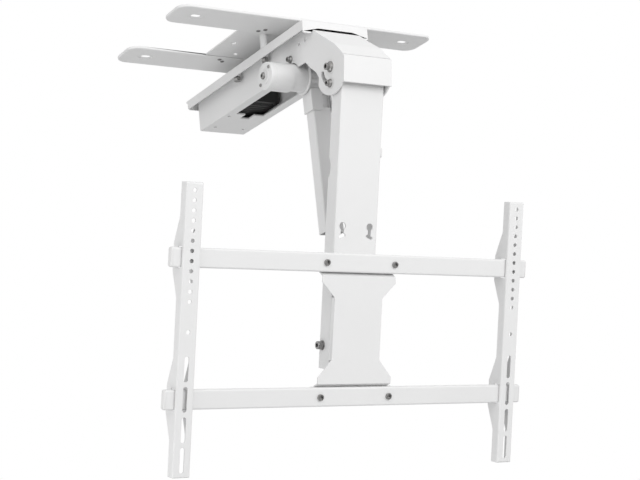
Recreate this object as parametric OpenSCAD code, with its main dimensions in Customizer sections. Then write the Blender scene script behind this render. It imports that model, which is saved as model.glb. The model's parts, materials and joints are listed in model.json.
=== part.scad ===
// Motorized ceiling mount for a television, in millimetres.
// The origin is on the ceiling plane, midway between the two ceiling strips.
// +X is to the right, +Y is to the back, where the screen folds up, and +Z is up.

/* [Ceiling strips] */
// Distance from a fixing slot's middle to the strip's end
slot_inset = 43.8; // [35:0.1:60]
// Width of each strip, front to back
wing_w = 73; // [66:1:80]
// Distance between the middles of the two strips
wing_pitch = 199; // [190:1:210]
// Height of the turned rim
wing_h = 4.5; // [4:0.1:8]
// Thickness of the strip's sheet
wing_t = 2; // [1.5:0.1:2.5]
// Radius of the strip's corners
wing_corner = 20; // [8:1:30]
// Distance between the fixing slots, which is the spacing of ceiling joists
joist_pitch = 406.4; // [390:0.1:410]
// Length of a fixing slot
fix_slot_l = 16; // [12:0.5:20]
// Width of a fixing slot
fix_slot_w = 9; // [7:0.5:10]

/* [Centre plate] */
// Length of the plate that joins the strips, left to right
centre_l = 208; // [190:1:240]
// Distance from the plate's end to a marking hole
mark_inset = 24; // [20:1:34]
// Diameter of the marking holes
mark_d = 7; // [4:0.5:9]

/* [Tray] */
// Distance the tray stands out beside the channel
tray_side = 17.8; // [17:0.2:24]
// Distance from the fold pivot back to the tray's front
tray_setback = 45; // [40:1:47]
// Distance from the origin to the tray's back
tray_back = 233; // [225:1:250]
// Drop from the ceiling to the tray's top
tray_drop = 30; // [26:1:34]
// Depth of the tray's turned lips
tray_lip = 17; // [12:0.5:20]
// Thickness of the tray's sheet
tray_t = 2.5; // [2:0.1:3]
// Diameter of a spacer
spacer_d = 12; // [11:0.5:13]

/* [Channel] */
// Width of the channel and its cheeks
channel_w = 90; // [88:0.5:96]
// Height of the channel's wall
channel_h = 59; // [57:0.5:61]
// Distance from the tray's back to the channel's back
channel_setback = 13; // [10:1:20]
// Width of the floor beside the opening
floor_side = 17; // [12:0.5:17]
// Length of the floor behind the opening
floor_rear = 112; // [104:1:120]
// Thickness of the channel's sheet
sheet = 3; // [2.5:0.1:3.4]

/* [Post and fold] */
// Distance from the origin forward to the fold pivot
pivot_y = 246; // [244:0.5:248]
// Drop from the tray's underside to the fold pivot
pivot_hang = 93.5; // [93:0.5:95]
// Lean of the post from plumb when it is down
lean = 15.4; // [13:0.2:18]
// Clearance between the post and each cheek
post_gap = 2; // [1.5:0.1:3]
// Depth from the pivot to the post's front face
post_front = 29; // [27:0.5:30]
// Depth from the pivot to the post's back edges
post_rear = 1; // [1:0.2:4]
// Length of the post past the rod's pin
post_tail = 37; // [30:1:50]
// Thickness of the post's sheet
post_t = 3; // [2.5:0.1:3.4]
// Distance from the pivot down to the rod's pin
pin_u = 443; // [436:1:450]
// Depth from the pivot to the rod's pin, towards the front
pin_r = 9; // [8.5:0.1:9.5]

/* [Screen bracket] */
// Distance from the fold pivot down to the top of the uprights
bracket_u = 197.8; // [190:0.2:206]
// Depth of the padding between the post and the screen plate
pad_depth = 6.2; // [5:0.1:9]
// Distance between the middles of the uprights
upright_pitch = 600; // [400:1:604]
// Height of an upright below its lowest slot
upright_tail = 7; // [5:0.5:14]
// Width of an upright's face
upright_w = 29; // [27:0.5:34]
// Depth of an upright's flanges
upright_d = 17; // [14:0.5:20]
// Depth of the flanges beside the bars
bulge_d = 34; // [28:0.5:40]
// Thickness of an upright's sheet
upright_t = 2; // [1.5:0.1:2.4]
// Diameter of the round fixing holes in an upright
hole_d = 6.5; // [5:0.5:8]
// Distance between neighbouring holes
hole_pitch = 15; // [13:0.5:15.5]
// Distance from an upright's top to its first hole
hole_top = 12; // [9:0.5:14]
// Height of the screen's fixing pattern
pattern_h = 400; // [398:1:402]
// Length of a bar past the middle of each upright
bar_tail = 28; // [22:1:40]
// Height of a crossbar
bar_h = 30; // [27:0.5:32]
// Depth of a crossbar
bar_d = 12; // [10:0.5:13]
// Distance from the bracket's top to the middle of the upper bar
bar_top = 112; // [108:1:116]
// Height of the fixing pattern that the crossbars leave over
bar_spare = 189; // [184:1:194]
// Depth from the screen's plane to the bars
bar_set = 6; // [5:0.2:8]

/* [Screen plate] */
// Width of the plate's ends
plate_w = 150; // [144:1:160]
// Distance the plate's waist stands out beside the post
waist_side = 4.5; // [3:0.5:8]
// Thickness of the plate's sheet
plate_t = 2.5; // [2:0.1:3]
// Depth of the plate's joggle and of its waist flanges
joggle = 10; // [8:0.2:11]
// Distance from the plate's end to a bar's screws
bar_screw_inset = 11.5; // [10:0.5:16]

/* [Drive] */
// Diameter of the motor's neck, which the hanger holds
motor_d = 45; // [42:0.5:45]
// Diameter of the motor's case
can_d = 50; // [46:0.5:50]
// Distance from the middle to the motor's outer end
motor_end = 97; // [90:1:104]
// Distance from the fold pivot back to the motor's axis
motor_setback = 121; // [120:0.5:122]
// Drop from the tray's underside to the motor's axis
motor_hang = 71; // [70.5:0.1:71.2]
// Width of the outer tube
rail_w = 36; // [32:0.5:36]
// Depth of the outer tube
rail_d = 25; // [24:0.5:27]
// Wall of the outer tube
rail_t = 2.5; // [2:0.1:3]
// Distance from the outer tube's end to the rod's pin
rod_reach = 190; // [184:1:196]
// Clearance between the sliding rod and the tube's inside
rod_gap = 3; // [2:0.1:4]
// Diameter of the lead screw
screw_d = 10; // [8:0.5:10]

/* [Control box] */
// Clearance between the control box and the channel's sides
box_side = 6; // [4:0.5:9]
// Distance from the channel's back to the control box
box_rear = 20; // [14:1:24]
// Length of the control box
box_l = 140; // [130:1:150]
// Height of the control box
box_h = 50; // [46:0.5:52]

/* [Hidden] */
$fn = 48;

// Overrun of every cut
over = 1;
// Running clearance between flat faces
gap = 0.3;
// Running clearance round a shaft, on the radius
fit = 0.05;

half_turn = 180;

// Ceiling strips and what joins them
wing_l = joist_pitch + 2 * slot_inset;
mark_x = centre_l / 2 - mark_inset;
wing_back_edge = wing_pitch / 2 + wing_w / 2;
wing_front_edge = wing_pitch / 2 - wing_w / 2;
wing_web_top = -wing_h + wing_t;
plate_side_gap = 1;
dimple_h = 1;
dimple_grow = 5;
wing_screw_d = 5;
wing_screw_head_d = 7.5;
wing_screw_head_h = 1.4;
wing_screw_inset = 10;
wing_screw_outset = 18;
wing_screw_x_near = 63;
wing_screw_x_far = 72;
star_slot_w = 2.5;
star_slot_l = 14;

// Tray
tray_top = -tray_drop;
tray_under = tray_top - tray_t;
tray_w = channel_w + 2 * tray_side;
tray_front = pivot_y - tray_setback;
spacer_side = 9;
spacer_x = channel_w / 2 + spacer_side;
spacer_front = wing_front_edge - spacer_d / 2 - over;
spacer_back_inset = 17;
spacer_back = wing_front_edge - spacer_back_inset;
spacer_low_d = 11;
tray_notch = 9;
tray_bolt_d = 8;
tray_bolt_head_d = 13;
tray_bolt_head_h = 8;
tray_bolt_drop = 12.5;
tray_slit_l = 66;
tray_slit_h = 3.5;
tray_tab_w = 17;
tray_tab_h = 6;
tray_tab_r = 3;

// Channel and cheeks
channel_back = tray_back - channel_setback;
motor_y = pivot_y - motor_setback;
motor_drop = tray_drop + tray_t + motor_hang;
pivot_drop = tray_drop + tray_t + pivot_hang;
floor_front_inset = 30;
floor_front = motor_y - floor_front_inset;
opening_w = channel_w - 2 * floor_side;
opening_back = channel_back - floor_rear;
channel_floor = tray_under - channel_h;
channel_bend = 4;
channel_slot_w = 18;
channel_slot_l = 22;
channel_hole_d = 6;
channel_hole_x = 29;
channel_hole_back = 31;
channel_hole_side_x = 34;
channel_hole_side_back = 97;
pivot_z = -pivot_drop;
// The cheek's outline, as places from the fold pivot
cheek_lip_gap = 1;
cheek_lip_drop = 1.5;
hood_top_out = 3;
hood_top_drop = 1;
hood_bend_y = 15;
hood_bend_z = 57;
hood_brow_y = -16;
hood_brow_z = 34.5;
nose_y = -42;
nose_z = 6.5;
chin_y = -34.5;
chin_z = -36;
lobe_r = 45.5;
lobe_start_angle = 231;
lobe_end_angle = 336;
neck_y = 38.5;
neck_z = -5;
neck_upper_y = 45;
neck_upper_z = 6;
belly_y = 61;
belly_z = 19;
hood_t = 3;
side_hole_d = 5;
side_hole_drop = 23;
side_hole_1 = 70;
side_hole_2 = 90;

// Fold pivot and guide
pivot_shank_d = 10;
pivot_head_d = 17.6;
pivot_head_h = 6;
pivot_nut_d = 18;
pivot_nut_h = 6;
bush_flange_d = 22;
bush_wall = 2;
ear_r = 16;
guide_u = 26.4;
guide_r = 2.7;
guide_shank_d = 8;
guide_head_d = 13.8;
guide_head_h = 5.5;
guide_nut_d = 14;
guide_nut_h = 5;
guide_slot_clear = 0.5;
guide_radius = sqrt(guide_u * guide_u + guide_r * guide_r);
guide_angle = atan2(-guide_u, -guide_r) + lean;
fold = 90 - lean;

// Post
post_w = channel_w - 2 * sheet - 2 * post_gap;
post_l = pin_u + post_tail;
cheek_in = channel_w / 2 - sheet;
post_side = post_w / 2;
post_bend = 4;
post_in = post_side - post_t;
bush_flange_t = cheek_in - post_side - gap;
ear_start_angle = 130;
ear_end_angle = -30;
ear_tail = 48;
scallop_u = 160;
scallop_r = 26;
scallop_depth = 6;
key_x = 25.5;
key_u = 252;
key_round_d = 12;
key_neck_w = 6;
key_drop = 16;
key_slot_l = 13;
key_slot_w = 5;
key_turn = -21;
clip_u = 131;
clip_l = 16;
clip_w = 13;
clip_h = 7;
clip_r = 3;
pin_bolt_d = 8;
pin_bolt_head_d = 13;
pin_bolt_head_h = 8.5;
pin_washer_d = 20;
pin_washer_t = 1.5;

// Screen bracket
bracket_r = post_front + pad_depth + bar_set + bar_d + plate_t;
bar_l = upright_pitch + 2 * bar_tail;
bar_pitch = pattern_h - bar_spare;
waist_w = post_w + 2 * waist_side;
bar_screw_x = plate_w / 2 - bar_screw_inset;
bar_back = bar_set + bar_d;
plate_back = bar_back + plate_t;
plate_web = bar_back - joggle;
post_plane = bracket_r - post_front;
bar_low = bar_top + bar_pitch;
bar_wall = 2;
bar_round = 3;
cap_l = 3;
cap_round = 4;
cap_plug_l = 14;
cap_side = 0.6;
bulge_ramp = 40;
bulge_flat = 6;
window_gap = 0.3;
slot_l = 38;
slot_w = 7;
slot_pitch = 45;
slot_count = 4;
hole_count = 12;
upright_h = hole_top + pattern_h + slot_l / 2 + upright_tail;
lone_hole_past = 10;
lone_hole = pattern_h / 2 + lone_hole_past;
upright_bend = 3;
plate_edge = 3;
plate_end_h = 18;
waist_top = 40;
waist_bottom = 43;
plate_chamfer = 9;
joggle_ramp = 5;
bar_screw_d = 8;
bar_screw_head_d = 11;
bar_screw_head_h = 3.5;
spacer_pad_w = post_w;
spacer_pad_h = 25;
spacer_low_inset = 30.2;
spacer_low_u = post_l - bracket_u - spacer_low_inset;
spacer_low_h = 30;
spacer_low_t = 3;

// Drive
motor_z = -motor_drop;
motor_cap_l = 6;
can_rise = 0.5;
can_shift = (can_d - motor_d) / 2 - can_rise;
can_start = channel_w / 2 + over;
motor_boss_d = 12;
motor_boss_l = 3;
motor_stud_d = 8;
motor_stud_l = 3;
motor_crescent_r = 14.5;
motor_crescent_l = 1.5;
motor_crescent_w = 4;
motor_screw_head_d = 6;
motor_screw_head_h = 2;
motor_screw_r = 19;
motor_screw_turn = 146;
gear_r = 24;
neck_end = 54.5;
hanger_t = 2.5;
hanger_ring_w = 4.5;
hanger_l = 56;
hanger_pad_t = 2.5;
hanger_tail_r = 14;
trunnion_d = 12;
trunnion_depth = 10;
trunnion_head_d = 18;
trunnion_head_h = 3;
cross_d = 8;
cross_hang = 39;
cross_z = tray_drop + tray_t + cross_hang;
cross_head_d = 13;
cross_head_h = 5;
collar_t = 3;
gear_w = rail_w + 2 * collar_t;
hanger_gap = 2;
hanger_in = gear_w / 2 + hanger_gap;
collar_top = 10;
collar_lap = 4;
collar_tongue_x = 1;
collar_step = 20;
collar_round = 8;
bearing_wall = 3;
bearing_d = rail_d - 2 * bearing_wall;
bearing_h = 10;
screw_start = 30;
nut_h = 16;
rod_d = rail_d - 2 * rail_t - rod_gap;
rod_bore_gap = 3;
rod_bore_d = screw_d + rod_bore_gap;
rod_floor = 57;
rail_bend = 4;
rail_bush_l = 15;
rail_bush_in = 6;
eye_r = 14;
eye_w = 24;
eye_socket_wall = 3;
eye_socket_d = rod_d + 2 * eye_socket_wall;
eye_socket_l = 34;
eye_seat = 20;
pin_d = 12;
pin_end_gap = 0.5;

// The rod's pin at rest, and the line of the drive from the motor's axis to it
pin_y = -pivot_y + pin_u * sin(lean) - pin_r * cos(lean);
pin_z = pivot_z - pin_u * cos(lean) - pin_r * sin(lean);
drive_len = sqrt(pow(pin_y + motor_y, 2) + pow(pin_z - motor_z, 2));
drive_angle = atan2(pin_y + motor_y, motor_z - pin_z);
rail_end = drive_len - rod_reach;
nut_from_end = 78;
nut_start = rail_end - nut_from_end;
screw_from_end = 24;
screw_end = rail_end - screw_from_end;
rod_bore_l = drive_len - eye_seat - nut_start - nut_h - rod_floor;

// Control box
box_w = channel_w - 2 * sheet - 2 * box_side;
box_front = channel_back - box_rear - box_l;
box_top = tray_under;
box_wall = 2;
box_split = 26;
box_round = 3;
rib_count = 13;
rib_h = 1.4;
rib_w = 4;
board_t = 1.6;
board_post_h = 12;
board_post_d = 6;
board_margin = 3;
board_post_inset = 9;
inlet_w = 28;
inlet_h = 19;
inlet_l = 20;
inlet_flange = 2;
inlet_proud = 3;
inlet_drop = 3.5;
inlet_depth = 13;
inlet_pin_w = 2;
inlet_pin_h = 4;
inlet_pin_pitch = 7;
inlet_wall = 2.5;

echo(drive_len = drive_len, drive_angle = drive_angle, pin_y = pin_y, pin_z = pin_z);

// Frames of reference

// A sheet or block with a side outline of (y, z), from x0 to x1
module slab_x(x0, x1) {
    translate([x0, 0, 0]) rotate([90, 0, 90]) linear_extrude(x1 - x0) children();
}
// A sheet or block with a front outline of (x, z), from y0 to y1
module slab_y(y0, y1) {
    translate([0, y1, 0]) rotate([90, 0, 0]) linear_extrude(y1 - y0) children();
}
// A sheet or block with a plan outline of (x, y), from z0 to z1
module slab_z(z0, z1) {
    translate([0, 0, z0]) linear_extrude(z1 - z0) children();
}
// A round bar along x
module rod_x(x0, x1, y, z, d) {
    translate([x0, y, z]) rotate([0, 90, 0]) cylinder(h = x1 - x0, d = d);
}
// A hexagon bar along x
module hex_x(x0, x1, y, z, d) {
    translate([x0, y, z]) rotate([0, 90, 0]) cylinder(h = x1 - x0, d = d, $fn = 6);
}
// The post's frame: the fold pivot is the origin, y is depth to the back and -z runs down the post
module in_post() {
    translate([0, -pivot_y, pivot_z]) rotate([lean, 0, 0]) children();
}
// The bracket's frame: the origin is on the screen's plane at the top of the uprights
module in_bracket() {
    in_post() translate([0, -bracket_r, -bracket_u]) children();
}
// The drive's frame: the motor's axis is the origin and -z runs down the outer tube
module in_drive() {
    translate([0, -motor_y, motor_z]) rotate([drive_angle, 0, 0]) children();
}
module both_sides() {
    children();
    mirror([1, 0, 0]) children();
}
// A rectangle with round corners, centred
module round_rect(w, h, r) {
    square([w - 2 * r, h], center = true);
    square([w, h - 2 * r], center = true);
    for (i = [-1, 1], j = [-1, 1]) translate([i * (w / 2 - r), j * (h / 2 - r)]) circle(r);
}
// A slot with round ends, long in x
module slot_2d(l, w) {
    square([l - w, w], center = true);
    for (i = [-1, 1]) translate([i * (l - w) / 2, 0]) circle(d = w);
}
function arc_points(cy, cz, r, a0, a1, n) =
    [for (i = [0:n]) [cy + r * cos(a0 + (a1 - a0) * i / n), cz + r * sin(a0 + (a1 - a0) * i / n)]];
function unit(v) = v / norm(v);
function left_of(v) = [-v[1], v[0]];
// The middle point of a folded line, moved inward by t
function fold_inner(a, b, c, t) =
    let (n1 = left_of(unit(b - a)), n2 = left_of(unit(c - b)))
    b + t * (n1 + n2) / (1 + n1 * n2);

// Ceiling strips

module wing_blank() {
    difference() {
        slab_z(-wing_h, 0) round_rect(wing_l, wing_w, wing_corner);
        slab_z(wing_web_top, over) round_rect(wing_l - 2 * wing_t, wing_w - 2 * wing_t, wing_corner - wing_t);
        for (i = [-1, 1]) translate([i * joist_pitch / 2, 0]) {
            slab_z(-wing_h - over, over) slot_2d(fix_slot_l, fix_slot_w);
            slab_z(-wing_h - over, -wing_h + dimple_h)
                slot_2d(fix_slot_l + 2 * dimple_grow, fix_slot_w + 2 * dimple_grow);
        }
    }
}
// Cuts that the joining plate and its screws make in a strip, for the back strip
module wing_cuts() {
    translate([-centre_l / 2 - plate_side_gap, wing_front_edge - over, wing_web_top])
        cube([centre_l + 2 * plate_side_gap, wing_t + 2 * over, wing_h]);
    wing_screw_places() translate([0, 0, -wing_h - over]) cylinder(h = wing_h + 2 * over, d = wing_screw_d);
}
module wing_screw_places() {
    both_sides() {
        translate([wing_screw_x_far, wing_front_edge + wing_screw_inset, 0]) children();
        translate([wing_screw_x_near, wing_front_edge + wing_screw_outset, 0]) children();
    }
}
module rear_wing() {
    color("white") difference() {
        translate([0, wing_pitch / 2, 0]) wing_blank();
        wing_cuts();
    }
}
module front_wing() {
    color("white") mirror([0, 1, 0]) difference() {
        translate([0, wing_pitch / 2, 0]) wing_blank();
        wing_cuts();
    }
}
module centre_plate() {
    color("white") difference() {
        slab_z(wing_web_top, 0) square([centre_l, 2 * (wing_back_edge - wing_t)], center = true);
        for (i = [0, 1]) mirror([0, i, 0]) wing_screw_places()
            translate([0, 0, -wing_h]) cylinder(h = wing_h + over, d = wing_screw_d);
        for (i = [-1, 1]) translate([i * mark_x, 0, -wing_h]) {
            cylinder(h = wing_h + over, d = mark_d);
            for (a = [0, 90]) rotate([0, 0, a])
                linear_extrude(wing_h + over) square([star_slot_l, star_slot_w], center = true);
        }
        spacer_places() translate([0, 0, -wing_h]) cylinder(h = wing_h + over, d = tray_bolt_d);
    }
}
module wing_screws() {
    color("silver") for (i = [0, 1]) mirror([0, i, 0]) wing_screw_places() {
        translate([0, 0, -wing_h]) cylinder(h = wing_h - gap, d = wing_screw_d);
        translate([0, 0, -wing_h - wing_screw_head_h])
            cylinder(h = wing_screw_head_h, d1 = wing_screw_head_d - wing_screw_head_h, d2 = wing_screw_head_d);
    }
}

// Tray

module spacer_places() {
    both_sides() {
        translate([spacer_x, -spacer_front, 0]) children();
        translate([spacer_x, spacer_back, 0]) children();
    }
}
module standoffs() {
    // Tall ones above the tray's front, and short ones under the tray at every bolt
    color("white") {
        both_sides() translate([spacer_x, -spacer_front, 0]) difference() {
            slab_z(tray_top, wing_web_top) circle(d = spacer_d);
            slab_z(tray_top - over, over) circle(d = tray_bolt_d);
        }
        spacer_places() difference() {
            slab_z(tray_under - tray_bolt_drop, tray_under) circle(d = spacer_low_d);
            slab_z(tray_under - tray_bolt_drop - over, tray_under + over) circle(d = tray_bolt_d);
        }
    }
}
module tray() {
    tray_l = tray_front + tray_back;
    color("white") difference() {
        translate([-tray_w / 2, -tray_front, tray_top - tray_lip]) cube([tray_w, tray_l, tray_lip]);
        translate([-tray_w / 2 + tray_t, -tray_front + tray_t, tray_top - tray_lip - over])
            cube([tray_w - 2 * tray_t, tray_l - 2 * tray_t, tray_lip - tray_t + over]);
        for (i = [-1, 1]) translate([i * tray_w / 2, tray_back, 0])
            slab_z(tray_top - tray_lip - over, tray_under - tray_t) square(tray_notch, center = true);
        translate([-tray_slit_l / 2, -tray_front - over, tray_top - tray_lip - over])
            cube([tray_slit_l, tray_t + 2 * over, tray_slit_h + over]);
        spacer_places() slab_z(tray_under - over, tray_top + over) circle(d = tray_bolt_d);
    }
    // The front lip's two tabs
    color("white") both_sides() slab_y(-tray_front, -tray_front + tray_t)
        translate([tray_w / 2 - tray_tab_w / 2, tray_top - tray_lip])
            round_rect(tray_tab_w, 2 * tray_tab_h, tray_tab_r);
}
module tray_bolts() {
    head_top = tray_under - tray_bolt_drop;
    color("silver") spacer_places() {
        slab_z(head_top, -gap) circle(d = tray_bolt_d);
        slab_z(head_top - tray_bolt_head_h, head_top) rotate(30) circle(d = tray_bolt_head_d, $fn = 6);
    }
}

// Channel, cheeks and hood

// The hood's line from the tray's lip over the nose to the chin, and the same line moved inward
hood_path = concat([[-tray_front - hood_top_out, tray_top - tray_lip - hood_top_drop]],
    [for (p = [[hood_bend_y, hood_bend_z], [hood_brow_y, hood_brow_z], [nose_y, nose_z], [chin_y, chin_z]])
        [p[0] - pivot_y, p[1] + pivot_z]]);
hood_last = len(hood_path) - 1;
hood_inner = concat([hood_path[0] + hood_t * left_of(unit(hood_path[1] - hood_path[0]))],
    [for (i = [1:hood_last - 1]) fold_inner(hood_path[i - 1], hood_path[i], hood_path[i + 1], hood_t)],
    [hood_path[hood_last] + hood_t * left_of(unit(hood_path[hood_last] - hood_path[hood_last - 1]))]);

module hood_2d() {
    polygon(concat(hood_path, [for (i = [hood_last:-1:0]) hood_inner[i]]));
}
// The side outline of a cheek and of the channel's wall behind it
module cheek_2d() {
    cheek_top = -tray_front + tray_t + cheek_lip_gap;
    difference() {
        polygon(concat(
            [[channel_back, tray_under], [cheek_top, tray_under], [cheek_top, tray_top - tray_lip - cheek_lip_drop],
             hood_path[0]], hood_inner,
            arc_points(-pivot_y, pivot_z, lobe_r, lobe_start_angle, lobe_end_angle, 14),
            [[neck_y - pivot_y, neck_z + pivot_z], [neck_upper_y - pivot_y, neck_upper_z + pivot_z],
             [belly_y - pivot_y, belly_z + pivot_z], [belly_y - pivot_y + channel_floor - belly_z + pivot_drop, channel_floor],
             [channel_back, channel_floor]]));
        hood_2d();
    }
}
module guide_slot_2d(clear) {
    w = guide_shank_d + 2 * clear;
    r_in = guide_radius - w / 2;
    r_out = guide_radius + w / 2;
    a1 = guide_angle + fold;
    polygon(concat(arc_points(-pivot_y, pivot_z, r_out, guide_angle, a1, 16),
                   arc_points(-pivot_y, pivot_z, r_in, a1, guide_angle, 16)));
    for (a = [guide_angle, a1])
        translate([-pivot_y + guide_radius * cos(a), pivot_z + guide_radius * sin(a)]) circle(d = w);
}
module channel() {
    color("white") difference() {
        union() {
            both_sides() slab_x(channel_w / 2 - sheet, channel_w / 2) cheek_2d();
            slab_y(-floor_front, channel_back) difference() {
                translate([-channel_w / 2 + over, channel_floor])
                    square([channel_w - 2 * over, sheet]);
                square([opening_w - channel_bend, over], center = true);
            }
        }
        // The opening that the drive swings in, with its narrow end
        slab_z(channel_floor - over, channel_floor + sheet + over) {
            translate([-opening_w / 2, -floor_front - over])
                square([opening_w, floor_front + opening_back + over]);
            translate([-channel_slot_w / 2, opening_back - over])
                square([channel_slot_w, channel_slot_l + over]);
            for (i = [-1, 1]) translate([i * channel_hole_x, channel_back - channel_hole_back])
                circle(d = channel_hole_d);
            translate([-channel_hole_side_x, channel_back - channel_hole_side_back])
                circle(d = channel_hole_d);
        }
        // Room for the motor in the left wall's lower edge
        rod_x(-channel_w / 2 - over, -channel_w / 2 + sheet + over, -motor_y, motor_z, motor_d + 4 * over);
        rod_x(-channel_w / 2 - over, channel_w / 2 + over, -motor_y, -cross_z, cross_d);
        rod_x(-channel_w / 2 - over, channel_w / 2 + over, -pivot_y, pivot_z, pivot_shank_d);
        for (y = [side_hole_1, side_hole_2])
            rod_x(-channel_w / 2 - over, channel_w / 2 + over, y - pivot_y, tray_under - side_hole_drop, side_hole_d);
        slab_x(-channel_w / 2 - over, channel_w / 2 + over) guide_slot_2d(guide_slot_clear);
    }
}
module hood_cover() {
    color("white") slab_x(-channel_w / 2, channel_w / 2) hood_2d();
}
module hanger_bracket() {
    ring_r = motor_d / 2 + fit + hanger_ring_w;
    color("white") difference() {
        union() {
            translate([-hanger_in - hanger_t, -motor_y - hanger_l / 2, tray_under - hanger_pad_t])
                cube([2 * (hanger_in + hanger_t), hanger_l, hanger_pad_t]);
            slab_x(-hanger_in - hanger_t, -hanger_in) hanger_arm_2d(ring_r);
            slab_x(hanger_in, hanger_in + hanger_t) hanger_arm_2d(hanger_tail_r);
        }
        rod_x(-hanger_in - hanger_t - over, -hanger_in + over, -motor_y, motor_z, motor_d + 2 * fit);
        rod_x(hanger_in - over, hanger_in + hanger_t + over, -motor_y, motor_z, trunnion_d + 2 * fit);
        rod_x(-channel_w / 2, channel_w / 2, -motor_y, -cross_z, cross_d);
    }
}
// A hanger's arm, with a round end of radius r about the motor's axis
module hanger_arm_2d(r) {
    translate([-motor_y, motor_z]) circle(r);
    polygon([[-motor_y - hanger_l / 2, tray_under], [-motor_y + hanger_l / 2, tray_under],
             [-motor_y + r, motor_z], [-motor_y - r, motor_z]]);
}
module cross_bolt() {
    color("silver") {
        rod_x(-channel_w / 2, channel_w / 2 + cross_head_h + over, -motor_y, -cross_z, cross_d);
        hex_x(-channel_w / 2 - cross_head_h, -channel_w / 2, -motor_y, -cross_z, cross_head_d);
    }
}
module cross_nut() {
    color("silver") difference() {
        hex_x(channel_w / 2, channel_w / 2 + cross_head_h, -motor_y, -cross_z, cross_head_d);
        rod_x(channel_w / 2 - over, channel_w / 2 + cross_head_h + over, -motor_y, -cross_z, cross_d);
    }
}

// Control box

module box_2d(shrink) {
    translate([0, box_front + box_l / 2])
        round_rect(box_w - 2 * shrink, box_l - 2 * shrink, box_round - shrink / 2);
}
module board_posts() {
    for (i = [-1, 1], j = [-1, 1])
        translate([i * (box_w / 2 - board_post_inset), box_front + box_l / 2 + j * (box_l / 2 - board_post_inset - inlet_l), 0])
            children();
}
module control_box_base() {
    color("dimgray") difference() {
        union() {
            difference() {
                slab_z(box_top - box_split, box_top) box_2d(0);
                slab_z(box_top - box_split - over, box_top - box_wall) box_2d(box_wall);
            }
            board_posts() slab_z(box_top - box_wall - board_post_h, box_top - box_wall) circle(d = board_post_d);
        }
        inlet_block(0, over);
    }
}
module control_box_cover() {
    low = box_top - box_h;
    color("dimgray") {
        difference() {
            slab_z(low + rib_h, box_top - box_split) box_2d(0);
            slab_z(low + rib_h + box_wall, box_top - box_split + over) box_2d(box_wall);
        }
        for (i = [0:rib_count - 1])
            translate([0, box_front + box_l * (i + 1) / (rib_count + 1), 0])
                slab_z(low, low + rib_h) square([box_w - 2 * box_round, rib_w], center = true);
    }
}
module circuit_board() {
    z = box_top - box_wall - board_post_h;
    inner_l = box_l - 2 * (box_wall + board_margin) - inlet_l;
    color("green") slab_z(z - board_t, z)
        translate([-box_w / 2 + box_wall + board_margin, box_front + box_wall + board_margin])
            square([box_w - 2 * (box_wall + board_margin), inner_l]);
}
// The block of the mains inlet, grown by a wall
module inlet_block(grow, proud) {
    back = box_front + box_l;
    translate([-inlet_w / 2 - grow, back - inlet_l, box_top - inlet_drop - inlet_h - grow])
        cube([inlet_w + 2 * grow, inlet_l + proud, inlet_h + 2 * grow]);
}
module power_inlet() {
    back = box_front + box_l;
    mid_z = box_top - inlet_drop - inlet_h / 2;
    color("black") {
        difference() {
            union() {
                inlet_block(0, inlet_proud);
                translate([-inlet_w / 2 - inlet_flange, back, mid_z - inlet_h / 2 - inlet_flange / 2])
                    cube([inlet_w + 2 * inlet_flange, inlet_proud, inlet_h + inlet_flange]);
            }
            translate([-inlet_w / 2 + inlet_wall, back + inlet_proud - inlet_depth, mid_z - inlet_h / 2 + inlet_wall])
                cube([inlet_w - 2 * inlet_wall, inlet_depth + over, inlet_h - 2 * inlet_wall]);
        }
        for (i = [-1, 0, 1])
            translate([i * inlet_pin_pitch - inlet_pin_w / 2, back + inlet_proud - inlet_depth, mid_z - inlet_pin_h / 2])
                cube([inlet_pin_w, inlet_depth - inlet_wall, inlet_pin_h]);
    }
}

// Fold pivot

module pivot_bolts() {
    color("silver") both_sides() {
        rod_x(post_in - gap - pivot_nut_h, channel_w / 2, -pivot_y, pivot_z, pivot_shank_d);
        rod_x(channel_w / 2, channel_w / 2 + pivot_head_h, -pivot_y, pivot_z, pivot_head_d);
    }
}
module pivot_nuts() {
    color("silver") both_sides() difference() {
        hex_x(post_in - gap - pivot_nut_h, post_in - gap, -pivot_y, pivot_z, pivot_nut_d);
        rod_x(post_in - gap - pivot_nut_h - over, post_in + over, -pivot_y, pivot_z, pivot_shank_d);
    }
}
module pivot_bushes() {
    color("ivory") both_sides() difference() {
        union() {
            rod_x(post_in, post_side, -pivot_y, pivot_z, pivot_shank_d + 2 * fit + 2 * bush_wall);
            rod_x(post_side, post_side + bush_flange_t, -pivot_y, pivot_z, bush_flange_d);
        }
        rod_x(post_in - over, post_side + bush_flange_t + over, -pivot_y, pivot_z, pivot_shank_d + 2 * fit);
    }
}
module guide_bolts() {
    color("silver") both_sides() in_post() {
        rod_x(post_in - guide_nut_h, channel_w / 2 + gap, -guide_r, -guide_u, guide_shank_d);
        rod_x(channel_w / 2 + gap, channel_w / 2 + gap + guide_head_h, -guide_r, -guide_u, guide_head_d);
    }
}
module guide_nuts() {
    color("silver") both_sides() in_post() difference() {
        hex_x(post_in - guide_nut_h, post_in, -guide_r, -guide_u, guide_nut_d);
        rod_x(post_in - guide_nut_h - over, post_in + over, -guide_r, -guide_u, guide_shank_d);
    }
}

// Post

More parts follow.
